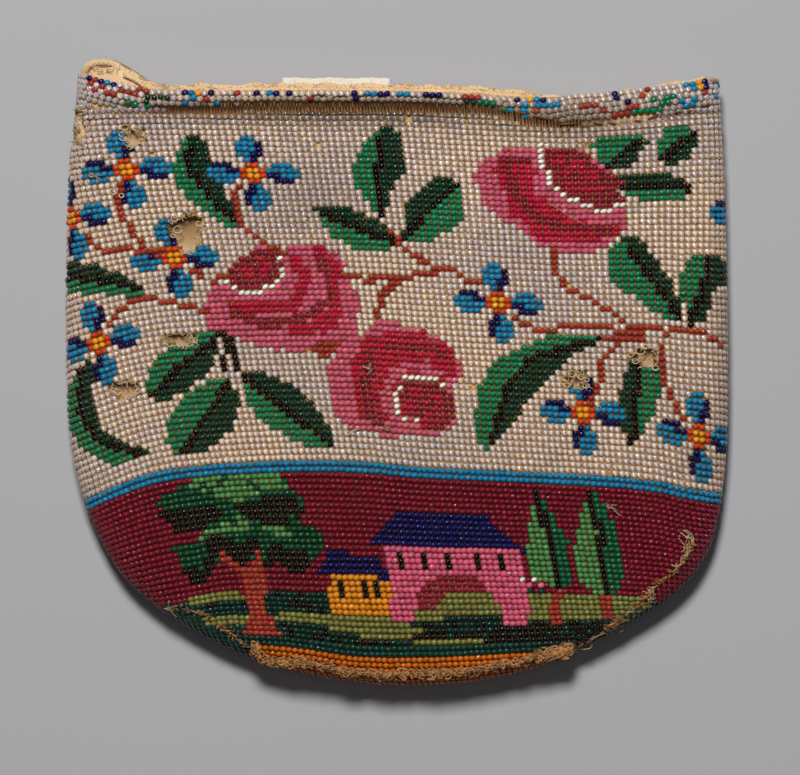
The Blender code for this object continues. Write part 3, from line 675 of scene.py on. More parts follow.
stems = [
    [(121, 185), (115, 198), (124, 215), (131, 228), (137, 238), (148, 250)],
    [(87, 240), (103, 252), (148, 250), (160, 252)], [(148, 250), (158, 255)],
    [(242, 184), (232, 197), (236, 215), (240, 225), (252, 235), (258, 240), (270, 246), (282, 252)],
    [(111, 322), (116, 316), (121, 307), (140, 298), (158, 299), (170, 303), (195, 309), (206, 309)],
    [(193, 270), (203, 275)], [(213, 280), (225, 276)], [(345, 278), (372, 280)], [(374, 275), (436, 276)],
    [(434, 270), (455, 271)], [(460, 278), (470, 279), (482, 284)],
    [(391, 233), (400, 243), (408, 252), (417, 258), (422, 258), (428, 265)],
    [(404, 281), (394, 281), (388, 290), (378, 298), (380, 304), (374, 312), (376, 316)],
    [(409, 281), (399, 281), (392, 287), (386, 292), (384, 298)],
    [(517, 318), (525, 325), (545, 330), (590, 325), (640, 335)],
    [(552, 250), (555, 270), (565, 283), (572, 292), (590, 300), (605, 310), (618, 317), (640, 335)],
    [(640, 325), (665, 333), (695, 328), (720, 342), (730, 345)], [(605, 340), (640, 340)],
    [(615, 345), (603, 358), (602, 375), (595, 395), (590, 403)],
    [(660, 348), (661, 375), (663, 388), (671, 395), (678, 412), (685, 419)],
]

roses = [
    dict(
        petals=[(205, 303), (213, 286), (229, 284), (240, 262), (262, 245), (285, 250), (297, 243),
                (320, 243), (342, 256), (347, 275), (352, 290), (359, 297), (358, 320), (355, 335),
                (350, 340), (320, 342), (300, 351), (265, 350), (240, 340), (222, 332), (206, 328),
                (203, 312)],
        crimson=[[(305, 324), (318, 318), (324, 312), (337, 309), (339, 327), (334, 332), (314, 333),
                  (296, 333), (282, 332), (296, 323)]],
        crimsonArcs=[(5.6,
                      [(295, 262), (303, 273), (304, 280), (301, 289), (299, 300), (292, 308), (262, 305),
                       (231, 306)]),
                     (4.2,
                      [(318, 249), (325, 256), (328, 262), (336, 268), (336, 278), (334, 290), (335, 302),
                       (337, 314)])],
        rubyArcs=[(4.4,
                   [(321, 261), (328, 280), (329, 300), (318, 311), (303, 318), (282, 323), (260, 324),
                    (244, 317), (235, 313)])],
        heart=[(222, 276), (238, 261), (258, 249), (271, 248), (281, 253), (282, 267), (284, 275),
               (277, 283), (264, 288), (242, 290), (236, 284)],
        glints=[(262, 256), (262, 267), (268, 267), (243, 272), (251, 272), (265, 272), (246, 277),
                (253, 277), (266, 277), (262, 262)],
        white=[(228.6, 283), (235, 287.6), (243, 293.5), (250, 293.5), (256, 293), (262, 293), (267.6, 288),
               (274.7, 288.7), (279.6, 283), (285, 277.8), (284.4, 272.4), (283.4, 267), (282.6, 261.3),
               (281.7, 256)],
    ),
    dict(
        petals=[(380, 319), (397, 319), (405, 327), (427, 331), (444, 340), (453, 350), (455, 358),
                (462, 362), (462, 376), (452, 384), (452, 389), (454, 409), (459, 418), (446, 432),
                (430, 438), (378, 436), (375, 430), (350, 428), (337, 420), (333, 400), (329, 380),
                (329, 362), (336, 354), (341, 345), (362, 335), (367, 327)],
        crimson=[[(363, 338), (395, 332), (425, 331), (428, 340), (446, 341), (454, 350), (454, 381),
                  (446, 384), (404, 420), (395, 424), (373, 422), (357, 418), (360, 411), (357, 400),
                  (354, 390), (351, 377), (347, 364), (353, 357), (361, 350)]],
        rubyArcs=[(3.6, [(391, 346), (427, 347), (439, 351), (448, 359)]),
                  (5.4,
                   [(371, 352), (371, 370), (367, 380), (366, 393), (366, 404), (370, 414), (378, 420)])],
        pinkArcs=[(5.0,
                   [(429, 366), (408, 366), (396, 372), (390, 380), (387, 389), (386, 400), (389, 408),
                    (395, 415), (405, 421)]), (3.2, [(423, 373), (441, 373), (448, 379), (448, 391)])],
        heart=[(402, 382), (439, 382), (449, 392), (454, 398), (454, 408), (457, 418), (448, 427),
               (444, 433), (427, 430), (417, 420), (408, 413), (400, 400)],
        glints=[(411, 388), (418, 388), (412, 395), (419, 395), (432, 395), (438, 396), (408, 401),
                (426, 401), (440, 401), (409, 407), (416, 407), (427, 412), (434, 412), (440, 413),
                (422, 418), (430, 418), (442, 419), (425, 424), (433, 424)],
        white=[(403.6, 377), (409.6, 377), (416, 378.6), (422.6, 379), (429, 378.8), (435.5, 378.8),
               (442, 384.5), (399.7, 388.5), (394.5, 394), (396.4, 399.6), (397.3, 405.6), (398, 411),
               (406.2, 416.7), (413.6, 421.8)],
    ),
    dict(
        petals=[(472, 182), (476, 170), (484, 160), (497, 155), (508, 149), (536, 147), (575, 147),
                (590, 155), (605, 170), (622, 180), (616, 192), (628, 203), (628, 217), (622, 235),
                (606, 246), (588, 255), (560, 255), (545, 247), (530, 242), (524, 232), (512, 225),
                (497, 219), (484, 205), (480, 190)],
        crimson=[[(496, 160), (520, 157), (531, 160), (534, 168), (536, 174), (530, 180), (530, 190),
                  (540, 197), (547, 203), (555, 208), (571, 220), (600, 225), (621, 225), (622, 233),
                  (606, 238), (596, 244), (543, 244), (533, 238), (525, 222), (512, 216), (508, 194),
                  (499, 188), (495, 172)]],
        rubyArcs=[(3.4, [(504, 161), (528, 161)]),
                  (4.6,
                   [(505, 170), (510, 181), (514, 192), (521, 201), (528, 209), (541, 220), (562, 228),
                    (600, 230), (609, 230)])],
        heart=[(541, 146), (574, 147), (586, 155), (604, 171), (624, 180), (615, 192), (627, 203),
               (621, 206), (597, 212), (573, 203), (561, 195), (553, 188), (547, 180), (544, 168)],
        glints=[(552, 154.5), (558, 154.5), (552, 164.5), (558, 164.5), (577, 160.5), (584, 160.5),
                (584, 166), (566, 170), (578, 170), (559, 175), (571, 175), (578, 175), (586, 175),
                (593, 175), (586, 181), (593, 181), (567, 187), (574, 187), (581, 187), (567, 192),
                (574, 192), (581, 192), (588, 192), (595, 192), (602, 192)],
        white=[(536.6, 148), (537.4, 154), (538.4, 159.3), (539, 164.4), (539.8, 169.3), (546.9, 174.5),
               (547.4, 180), (547.6, 185.5), (555.2, 191.2), (562.6, 197), (570.4, 203), (577, 203),
               (583.2, 208.3), (590.2, 208.3), (597.3, 214.3), (604, 213.7), (610.8, 213.2), (616.2, 207.8),
               (622.2, 208)],
    ),
]

groundFields = [  # the land under the sky, in the order it is knitted over
    ("olive", [(188, 597), (240, 589), (246, 602), (205, 603), (188, 604)]),
    ("pine", [(203, 603), (250, 601), (252, 615), (203, 616)]),
    ("olive", [(203, 615), (248, 613), (248, 624), (204, 624)]),
    ("pine", [(262, 590), (332, 590), (332, 616), (262, 616)]),
    ("pine",
     [(262, 616), (393, 610), (416, 618), (599, 616), (612, 630), (609, 644), (393, 643), (262, 640)]),
    ("black",
     [(430, 619), (505, 614), (527, 623), (600, 619), (604, 632), (590, 642), (486, 643), (484, 637),
      (393, 640), (393, 636), (426, 634), (428, 627)]),
    ("olive",
     [(273, 613), (330, 613), (393, 617), (423, 629), (423, 635), (393, 641), (372, 638), (330, 630),
      (318, 622), (273, 622)]),
    ("olive", [(524, 593), (648, 597), (650, 606), (628, 621), (524, 622)]),
    ("olive", [(416, 639), (483, 639), (483, 645), (416, 645)]),
    ("ochre", [(328, 574), (387, 577), (391, 600), (393, 616), (330, 613)]),
    ("navy", [(316, 575), (328, 552), (380, 555), (388, 578)]),
    ("housePink", [(380, 544), (522, 551), (526, 574), (529, 601), (529, 624), (392, 621), (389, 582)]),
    ("olive",
     [(449, 592), (494, 592), (496, 603), (502, 604), (502, 613), (464, 614.5), (442, 620), (416, 624),
      (416, 608), (437, 607)]),
    ("pine", [(443, 619), (464, 614.5), (502, 613), (503, 630), (416, 630), (416, 624)]),
    ("ruby",
     [(444, 573), (467, 573), (482, 583), (489, 592), (449, 593), (437, 608), (416, 608), (416, 592),
      (427, 583)]),
    ("navy", [(371, 544), (394, 510), (488, 517), (524, 552)]),
    ("brick",
     [(243, 569), (264, 567), (266, 600), (272, 622), (284, 634), (243, 636), (250, 615), (242, 590)]),
]
poplars = [
    ([(535, 486), (545, 502), (558, 525), (568, 541), (573, 572), (573, 582), (565, 590), (554, 589),
      (544, 582), (528, 572), (526, 554), (529, 521)], [(537, 492), (546, 530), (553, 560), (559, 590)],
     (530, 550), [(549, 591), (561, 591), (562, 623), (550, 623)]),
    ([(589, 487), (600, 499), (608, 511), (616, 528), (618, 550), (624, 572), (619, 588), (612, 594),
      (594, 593), (581, 582), (577, 565), (574, 542), (578, 533), (580, 516)],
     [(590, 492), (599, 530), (603, 560), (608, 594)], (582, 550),
     [(602, 594), (613, 594), (614, 621), (603, 621)]),
]
crownFields = [  # the tree's crown: two layers of green, each with its shade under it
    ("crownGreen",
     [(158, 506), (164, 497), (178, 489), (194, 479), (222, 473), (279, 473), (286, 481), (293, 490),
      (304, 497), (304, 511), (296, 519), (312, 529), (323, 529), (326, 541), (321, 556), (311, 560),
      (250, 560), (215, 566), (206, 574), (186, 574), (176, 557), (174, 546), (180, 541), (203, 534),
      (196, 528), (176, 514)]),
    ("maroon", [(172, 520), (178, 530), (188, 537), (198, 529), (204, 537), (196, 546), (172, 541)]),
    ("leafGreen",
     [(187, 487), (195, 480), (222, 473), (279, 473), (289, 488), (262, 493), (238, 502), (214, 496)]),
    ("leafGreen",
     [(198, 541), (206, 529), (226, 522), (238, 515), (252, 524), (292, 529), (290, 537), (266, 533),
      (252, 531), (228, 532), (206, 537), (200, 548)]),
    ("black",
     [(160, 510), (177, 511), (221, 507), (219, 519), (205, 530), (198, 530), (191, 528), (188, 537),
      (176, 533), (175, 524), (160, 519)]),
    ("black",
     [(236, 506), (258, 500), (276, 497), (292, 495), (304, 508), (299, 519), (290, 511), (287, 526),
      (264, 528), (259, 520), (244, 516)]),
    ("black",
     [(207, 537), (230, 536), (237, 545), (252, 537), (261, 543), (250, 562), (240, 571), (234, 560),
      (226, 552), (217, 551), (216, 566), (207, 582), (191, 584), (181, 569), (206, 569)]),
    ("black",
     [(262, 564), (270, 548), (279, 541), (291, 551), (311, 553), (312, 566), (302, 577), (287, 571),
      (280, 560), (272, 566)]),
]
houseWindows = [
    (341.4, 587), (362.4, 590), (379.7, 590), (402.2, 559), (426, 560.6), (450, 562.4), (475.2, 564),
    (500, 564.7),
]


def walk(points, pitch=(columnPitch, 5.5)):
    # one place for each bead along a line
    points = np.asarray(points, dtype=float)
    run = np.concatenate([[0], np.cumsum(np.max(np.abs(np.diff(points, axis=0)) / pitch, axis=1))])
    steps = np.linspace(0, run[-1], max(2, int(round(run[-1])) + 1))
    return np.column_stack([np.interp(steps, run, points[:, 0]), np.interp(steps, run, points[:, 1])])


def forgetMeNot(x, y, rows, columns, middle):
    # four turquoise petals, each with a navy edge on its clockwise side, round a yellow eye
    corner = np.argmin((x - middle[0] + 3.1) ** 2 + (y - middle[1] + 2.8) ** 2)
    a, b = columns - columns[corner] - 0.5, rows[corner] - rows + 0.5
    found = np.full(len(x), "", dtype="U12")
    for out, side in ((a, b), (b, -a), (-a, -b), (-b, a)):
        wide = (side == 0.5) & (out > 2) & (out < 7)
        short = (side == 1.5) & (out > 3) & (out < 6)
        half = (side == -0.5) & (out > 4) & (out < 7)
        found[wide | short | half] = "turquoise"
        found[(side == -0.5) & (out > 2) & (out < 4)] = "navy"
        found[(side == -1.5) & (out > 3) & (out < 6)] = "navy"
        found[(np.abs(side) == 0.5) & (out == 1.5)] = "orangeRed"
    found[(np.abs(a) < 1) & (np.abs(b) < 1)] = "yellow"
    return found


def paintFront(x, y, rows, columns, rng):
    hue = np.full(len(x), "crystal", dtype="U12")
    speck = rng.random(len(x))

    def fill(points, name):
        hue[insideShape(points, x, y)] = name

    def stroke(points, half, name, where=True):
        hue[(lineGap(points, x, y) < half) & where] = name

    def sameSide(line, spot):
        return sideOf(line, x, y) == sideOf(line, *np.array([spot], dtype=float).T)

    def dots(points, name):
        for px, py in points:
            nearest = np.argmin((x - px) ** 2 + (y - py) ** 2)
            if (x[nearest] - px) ** 2 + (y[nearest] - py) ** 2 < 30:
                hue[nearest] = name

    hue[y > curveAt(bandLine, x)] = "maroon"
    hue[y > curveAt(rowLines[2][1], x) + 4] = "teal"
    hue[(y > curveAt(rowLines[3][1], x) - 2) & (x > 250) & (x < 590)] = "amber"
    for name, points in groundFields + crownFields:
        fill(points, name)
    inCrown = (x > 150) & (x < 330) & (y < 586)
    hue[inCrown & (hue == "leafGreen") & (speck > 0.82)] = "crownGreen"
    stroke([(250, 576), (238, 567), (223, 556)], 4.5, "brick")
    stroke([(256, 576), (259, 551)], 4.5, "brick")
    hue[(hue == "pine") & (speck < 0.25)] = "black"
    hue[(hue == "black") & ~inCrown & (speck > 0.8)] = "pine"
    for outline, spine, light, trunk in poplars:
        fill(trunk, "brick")
        within = insideShape(outline, x, y)
        lightSide = sameSide(spine, light)
        hue[within & lightSide] = "leafGreen"
        hue[within & ~lightSide] = "poplarGreen"
        stroke(spine, 3.2, "black", within)
    for px, py in houseWindows:
        middle = np.argmin((x - px) ** 2 + (y - py) ** 2)
        hue[(columns == columns[middle]) & (np.abs(rows - rows[middle]) < 1.5)] = "black"
    dots([(523, 579), (536, 580)], "white")
    dots([(526, 584), (541, 586), (530, 583)], "housePink")
    dots([(530, 590), (541, 592)], "teal")
    stroke(bandPoints, 5.4, "turquoise")
    for outline, rib, light in leaves:
        within = insideShape(outline, x, y)
        lightSide = sameSide(rib, light)
        hue[within & lightSide] = "emerald"
        hue[within & ~lightSide] = "darkGreen"
        stroke(rib, 3.4, "black", within)
    for twig in ([(221, 335), (226, 331), (233, 332)], [(233, 334), (233, 345), (226, 352), (224, 362),
                 (225, 372)], [(227, 332), (229, 344), (237, 352), (238, 366), (246, 378)]):
        dots(walk(twig), "black")
    fill([(308, 344), (340, 342), (340, 352), (322, 358), (310, 352)], "brick")
    for middle in flowers:
        found = forgetMeNot(x, y, rows, columns, middle)
        hue[found != ""] = found[found != ""]
    for rose in roses:
        fill(rose["petals"], "pink")
        for points in rose["crimson"]:
            fill(points, "crimson")
        for arcs, name in (("crimsonArcs", "crimson"), ("rubyArcs", "ruby"), ("pinkArcs", "pink")):
            for half, points in rose.get(arcs, []):
                stroke(points, half, name)
        fill(rose["heart"], "ruby")
        dots(rose["glints"], "crimson")
        dots(rose["white"], "white")
    for points in stems:
        dots(walk(points), "brick")
    return hue


def paintBack(x, y):
    hue = np.full(len(x), "crystal", dtype="U12")
    bandY = curveAt(bandLine, 2 * chart["middleX"] - x)
    hue[y > bandY] = "maroon"
    hue[y > bandY + 125] = "teal"
    hue[y > bandY + 172] = "amber"
    hue[np.abs(y - bandY) < 5.4] = "turquoise"
    return hue


beadKinds = {  # width, length, height in chart units, and tilt in degrees
    "crystal": (7.3, 6.9, 3.3, 24), "white": (7.4, 4.9, 5.0, 26), "ruby": (6.6, 6.0, 4.3, 15),
    "pink": (7.7, 6.1, 4.6, 16), "housePink": (8.1, 6.4, 4.6, 18), "maroon": (6.6, 6.1, 4.3, 14),
    "darkGreen": (6.2, 6.0, 4.2, 16), "black": (6.6, 6.1, 4.3, 14), "ochre": (8.0, 6.4, 4.6, 18),
    "pine": (6.4, 6.1, 4.2, 16), "teal": (6.1, 6.5, 4.2, 18), "other": (7.0, 6.2, 4.6, 15),
}
softShades = [  # where the clear beads lie a little in shade: chart place, reach and depth
    ((310, 205), 55, 45, 0.22), ((600, 140), 50, 40, 0.22), ((727, 330), 14, 140, 0.30),
    ((705, 440), 35, 40, 0.18), ((420, 110), 160, 14, 0.22), ((110, 230), 60, 70, 0.10),
    ((560, 120), 90, 20, 0.15), ((665, 108), 60, 22, 0.25), ((330, 112), 220, 12, 0.93),
    ((548, 125), 55, 13, 0.55),
]
# painted shade: the yarn and the ground between the beads show darker beside darker beads
yarnTones = {  # how the yarn shows beside each kind of bead
    "crystal": (1.05, 0.92, 0.74), "white": (1, 0.8, 0.7), "darkGreen": (0.13, 0.15, 0.10),
    "ruby": (0.62, 0.36, 0.28), "crimson": (0.65, 0.28, 0.24), "pink": (0.85, 0.45, 0.42),
    "maroon": (0.24, 0.07, 0.07), "navy": (0.07, 0.06, 0.10), "black": (0.13, 0.12, 0.10),
    "crownGreen": (0.07, 0.10, 0.06), "poplarGreen": (0.10, 0.16, 0.09), "leafGreen": (0.32, 0.32, 0.17),
    "teal": (0.06, 0.08, 0.065), "pine": (0.06, 0.08, 0.06), "brick": (0.55, 0.22, 0.15),
    "emerald": (0.35, 0.40, 0.24), "turquoise": (0.25, 0.32, 0.34), "olive": (0.42, 0.34, 0.16),
    "ochre": (0.55, 0.28, 0.10), "amber": (0.45, 0.22, 0.08), "housePink": (0.60, 0.26, 0.28),
    "yellow": (0.7, 0.4, 0.15), "orangeRed": (0.7, 0.35, 0.2),
}


def shadeAt(px, py):
    light = np.ones(len(px))
    for (patchX, patchY), reachX, reachY, depth in softShades:
        light *= 1 - depth * np.exp(-((px - patchX) / reachX) ** 2 - ((py - patchY) / reachY) ** 2)
    return light


def layBeads(side, seed):
    # the beads of one side that are still there, with their places, turns, hues and chart places
    settings = dict(spreadAcross=0.00006, spreadAlong=0.00005, widest=0.1, lowest=-0.096, sunk=0.00035,
                    rim=0.0002, backRim=0.0006, ribs=0.0021, underRibs=0.0004, backTop=0.001, lost=0.002)
    rng = np.random.default_rng(seed)
    spots = lattice(side)
    x, y = spots[:, 0], spots[:, 1]
    u = across(x) + rng.normal(0, settings["spreadAcross"], len(x))
    v = along(y) + rng.normal(0, settings["spreadAlong"], len(x))
    roughly = (np.abs(u) < settings["widest"]) & (v < along(70)) & (v > settings["lowest"])
    u, v, rows, pitch, columns = u[roughly], v[roughly], *spots[roughly, 2:].T
    where, rowWay, out, reach = pillowFrame(u, v, side)
    if side < 0:
        where = where - out * settings["sunk"]  # the back lies pressed on the table
    px, py = chartOf(where[:, 0], where[:, 1])
    keep = reach > settings["backRim"] * (side < 0) + settings["rim"]
    below = mouthAt(where[:, 0]) - where[:, 1]
    if side > 0:
        bare = rimWidthAt(where[:, 0]) + settings["ribs"] * np.clip((170 - np.abs(px - 375)) / 60 + 1, 0, 1)
        keep &= below > bare + settings["underRibs"]
        for name in wornHoles:
            keep &= ~insideShape(holeShape(name, 1.0), px, py)
        keep &= ~insideShape(tornCorner["beads"], px, py)
        hue = paintFront(px, py, rows, columns, rng)
        keep &= (rng.random(len(px)) > settings["lost"]) | (hue != "crystal")
    else:
        keep &= below > settings["backTop"]
        hue = paintBack(px, py)
    laid = dict(where=where, rowWay=rowWay, out=out, hue=hue, pitch=pitch, px=px, py=py)
    return dict({key: values[keep] for key, values in laid.items()}, rng=rng)


def beadArrays(beads, chosen, small):
    # places, turns, sizes and colours of the chosen beads; the spreads are those of hand work
    spread = dict(tilt=6, size=0.03, lift=0.00005, tone=0.10, warmth=0.25, clearTone=0.08)
    clearTones = dict(cool=(0.41, 0.355, 0.38), warm=(0.60, 0.46, 0.36))
    rng = beads["rng"]
    keys = ("where", "rowWay", "out", "hue", "pitch")
    where, rowWay, out, hue, pitch = (beads[key][chosen] for key in keys)
    kinds = np.array([beadKinds.get(h, beadKinds["other"]) for h in hue])
    count = len(hue)
    tilt = np.radians(kinds[:, 3] + rng.normal(0, spread["tilt"], count))
    turns = eulerTurn(leaned(rowWay, np.cross(out, rowWay), tilt), out)
    sizes = kinds[:, :3] * stepX * rng.normal(1, spread["size"], (count, 3)) * small
    sizes[:, 0] *= pitch / columnPitch
    spots = where + out * rng.normal(0, spread["lift"], count)[:, None]
    tone = np.array([palette[h] for h in hue]) * rng.normal(1, spread["tone"], count)[:, None]
    spotX, spotY = spots[:, 0] / stepX, spots[:, 1] / stepY
    drift = 0.5 + 0.3 * np.sin(spotX / 47 + 2 * np.sin(spotY / 61)) + 0.25 * np.sin(spotY / 33 + spotX / 90)
    warm = np.clip(drift + rng.normal(0, spread["warmth"], count), 0, 1)[:, None]
    clear = (1 - warm) * np.array(clearTones["cool"]) + warm * np.array(clearTones["warm"])
    clear *= shadeAt(beads["px"][chosen], beads["py"][chosen])[:, None]
    clear = clear * rng.normal(1, spread["clearTone"], (count, 1))
    tone = np.where((hue == "crystal")[:, None], clear, tone)
    return spots, turns, sizes, np.clip(tone, 0, 1)


print("laying beads")
front = layBeads(1, 11)
back = layBeads(-1, 12)

beadPieces = [  # name, hues, slot, the solids that it stands for
    ("turquoiseBeads", ("turquoise",), "turquoise_beads",
     ["blue_band"] + [f"forget_me_not_{k}" for k in range(1, 9)]),
    ("navyBeads", ("navy",), "navy_beads", ["pink_roof", "ochre_roof"]),
    ("yellowBeads", ("yellow", "orangeRed"), "yellow_beads",
     [f"flower_eye_{k}" for k in (1, 2, 4, 5, 6, 7, 8)]),
    ("pinkBeads", ("pink", "housePink"), "pink_beads",
     ["rose_left_petals", "rose_lower_petals", "rose_upper_right_petals", "pink_house"]),
    ("crimsonBeads", ("crimson", "ruby"), "crimson_beads",
     ["rose_left_heart", "rose_lower_heart", "rose_upper_right_heart", "arch_shade"]),
    ("whiteBeads", ("white",), "white_beads",
     ["rose_left_pale_line", "rose_lower_pale_line", "rose_upper_right_pale_line"]),
    ("greenBeads", ("emerald", "leafGreen", "crownGreen", "poplarGreen"), "green_beads",
     ["leaf_top_left", "leaves_middle", "leaf_middle_right", "leaves_top_right", "leaves_right",
      "leaf_lower_middle", "leaf_lower_right", "leaves_under_rose", "leaf_left_edge", "leaf_crescent",
      "tree_crown", "poplar_left", "poplar_right"]),
    ("darkGreenBeads", ("darkGreen", "pine", "black", "teal"), "dark_green_beads", ["meadow"]),
    ("oliveBeads", ("olive",), "olive_beads", ["hill_middle", "hill_right"]),
    ("brickBeads", ("brick",), "brick_beads",
     ["stem_top_left", "stem_rose_left", "stem_left", "stem_middle", "stem_right", "tree_trunk",
      "poplar_left_trunk", "poplar_right_trunk"]),
    ("maroonBeads", ("maroon",), "maroon_beads", ["evening_sky"]),
    ("ochreBeads", ("ochre",), "ochre_beads", ["ochre_house"]),
    ("amberBeads", ("amber",), "amber_beads", ["orange_strip"]),
]


def beadPiece(name, beads, chosen, small, finish, sides, rings, slot, *nodes):
    # the chosen beads as one piece; sides and rings are those of each bead
    piece = scatter(name, "bead", *beadArrays(beads, chosen, small), finish, sides, rings)
    carry(piece, slot, *nodes)
    print(name, int(chosen.sum()))


for name, hues, slot, nodes in beadPieces:
    beadPiece(name, front, np.isin(front["hue"], hues), 1.0, opaqueGlass, 8, 4, slot, *nodes)
isClear = front["hue"] == "crystal"
upper = front["py"] < 290
beadPiece("crystalBeadsUpper", front, isClear & upper, 1.0, crystalGlass, 6, 4, "crystal_beads")
beadPiece("crystalBeadsLower", front, isClear & ~upper, 1.0, crystalGlass, 6, 4, "crystal_beads")
isClear = back["hue"] == "crystal"
upper = back["py"] < 300
beadPiece("backCrystalBeadsUpper", back, isClear & upper, 1.06, crystalGlass, 5, 3, "crystal_beads")
beadPiece("backCrystalBeadsLower", back, isClear & ~upper, 1.06, crystalGlass, 5, 3, "crystal_beads")
beadPiece("backColourBeads", back, ~isClear, 1.06, opaqueGlass, 5, 3, "maroon_beads")


# Yarn strands that cross between the beads of each row

def layStrands(beads):
    # steep between coloured beads, and lying under each clear bead
    strand = dict(length=0.00118, width=0.00027, steep=-62, flat=16, lift=0.00026, clearLift=0.00038,
                  spread=12, lengthSpread=0.12, clearAlong=0.12, along=0.5, clearBelow=2.85)
    rng = np.random.default_rng(21)
    where, rowWay, out, pitch = (beads[key] for key in ("where", "rowWay", "out", "pitch"))
    count = len(pitch)
    clear = beads["hue"] == "crystal"
    degrees = np.where(clear, strand["flat"], strand["steep"]) + rng.normal(0, strand["spread"], count)
    tilt = np.radians(degrees)
    side = np.cross(out, rowWay)
    # a cylinder stands along its Z, so its X is the way out and its Z the way it lies
    turns = eulerTurn(out, leaned(rowWay, side, tilt))
    alongRow = np.where(clear, strand["clearAlong"], strand["along"]) * pitch * stepX
    below = np.where(clear, strand["clearBelow"] * stepY, 0)
    lift = np.where(clear, strand["clearLift"], strand["lift"])
    spots = where + rowWay * alongRow[:, None] - side * below[:, None] + out * lift[:, None]
    width = np.full(count, strand["width"])
    sizes = np.column_stack([width, width, strand["length"] * rng.normal(1, strand["lengthSpread"], count)])
    # painted shade: the strands darker beside the dark beads and in the soft shade patches
    colour = np.array([yarnTones[h] for h in beads["hue"]])
    colour *= shadeAt(beads["px"], beads["py"])[:, None]
    return spots, turns, sizes, colour


piece = scatter("yarnStrands", "strand", *layStrands(front), strandYarn, 3, 1)
carry(piece, "crystal_beads")
print("strands laid")


# The knitted ground, the lining and the tape

def sidesAt(line, y):
    lowest = int(np.argmin(line[:, 1]))
    left, right = line[:lowest + 1], line[lowest:]
    return np.interp(-y, -left[:, 1], left[:, 0]), np.interp(y, right[:, 1], right[:, 0])


def depthAt(x, y):
    gap, side, _, _ = nearestOn(edgeLine, x, y)
    return gap * side


def wallHeights(x, y, inset):
    depth = depthAt(x, y) - inset
    lift = np.sqrt(np.clip(1 - (1 - np.clip(depth / (bag["edgeRoll"] - inset), 0, 1)) ** 2, 0, 1))
    rise = bag["thickness"] - middleHeight - inset + softCrown(depth) + softWave(x, y)
    return middleHeight + lift * rise, middleHeight - (middleHeight - inset) * lift, lift


def insetEdge(inset):
    way = np.gradient(edgeLine, axis=0)
    way /= np.linalg.norm(way, axis=1)[:, None]
    return edgeLine + np.column_stack([-way[:, 1], way[:, 0]]) * inset


def bagShell(inset, frontTop, backTop, rows, frontColumns, backColumns, relief=0.0):
    # rings round the bag from the mouth to the bottom, and the tip that closes them
    line = insetEdge(inset)
    bottom = line[:, 1].min()
    rings = []
    for index in range(rows):
        share = index / rows
        sheets = []
        for top, columns in ((frontTop, frontColumns), (backTop, backColumns)):
            fan = (1 - np.cos(np.linspace(0, math.pi, columns + 1))) / 2
            fan = 0.35 * fan + 0.65 * np.linspace(0, 1, columns + 1)
            level = bottom + (along(100) - bottom) * (1 - share) ** 1.25
            left, right = sidesAt(line, level)
            x = left + (right - left) * fan
            y = level + (top(x) - along(100)) * max(0.0, 1 - index / 6)
            sheets.append((x, y))
        (fx, fy), (bx, by) = sheets
        frontZ, _, lift = wallHeights(fx, fy, inset)
        frontZ = frontZ + relief * rimRelief(fx, fy) * lift
        frontZ[[0, -1]] = middleHeight
        _, backZ, _ = wallHeights(bx, by, inset)
        backZ[[0, -1]] = middleHeight
        rings.append(np.vstack([
            np.column_stack([fx, fy, frontZ]), np.column_stack([bx, by, backZ])[-2:0:-1]]))
    lowest = line[int(np.argmin(line[:, 1]))]
    ring = len(rings[0])
    points = np.vstack(rings + [[(lowest[0], lowest[1], middleHeight)]])
    faces = []
    for row in range(rows - 1):
        for k in range(ring):
            a, b = row * ring + k, row * ring + (k + 1) % ring
            faces.append((b, a, a + ring, b + ring))
    last = (rows - 1) * ring
    faces += [(last + (k + 1) % ring, last + k, len(points) - 1) for k in range(ring)]
    return points, faces


def turnedOut(piece, weld=True):
    # the piece with its faces turned outward
    work = bmesh.new()
    work.from_mesh(piece.data)
    if weld:
        bmesh.ops.remove_doubles(work, verts=work.verts, dist=0.00001)
    bmesh.ops.recalc_face_normals(work, faces=work.faces)
    if work.calc_volume(signed=True) < 0:
        bmesh.ops.reverse_faces(work, faces=work.faces)
    work.to_mesh(piece.data)
    work.free()
    return piece


def pointsOf(piece):
    # x, y and z of every point
    places = np.zeros(len(piece.data.vertices) * 3)
    piece.data.vertices.foreach_get("co", places)
    return places.reshape(-1, 3).T


def thickened(piece, thickness, offset=-1.0):
    step = piece.modifiers.new("cloth", "SOLIDIFY")
    step.thickness = thickness
    step.offset = offset
    return applied(piece)


def hueNear(px, py):
    # the colour of the front's bead that is nearest to each chart place
    tree = kdtree.KDTree(len(front["px"]))
    for index, spot in enumerate(zip(front["px"], front["py"])):
        tree.insert((*spot, 0), index)
    tree.balance()
    found = [tree.find((x, y, 0)) for x, y in zip(px, py)]
    return [front["hue"][index] if gap < 11 else "crystal" for _, index, gap in found]


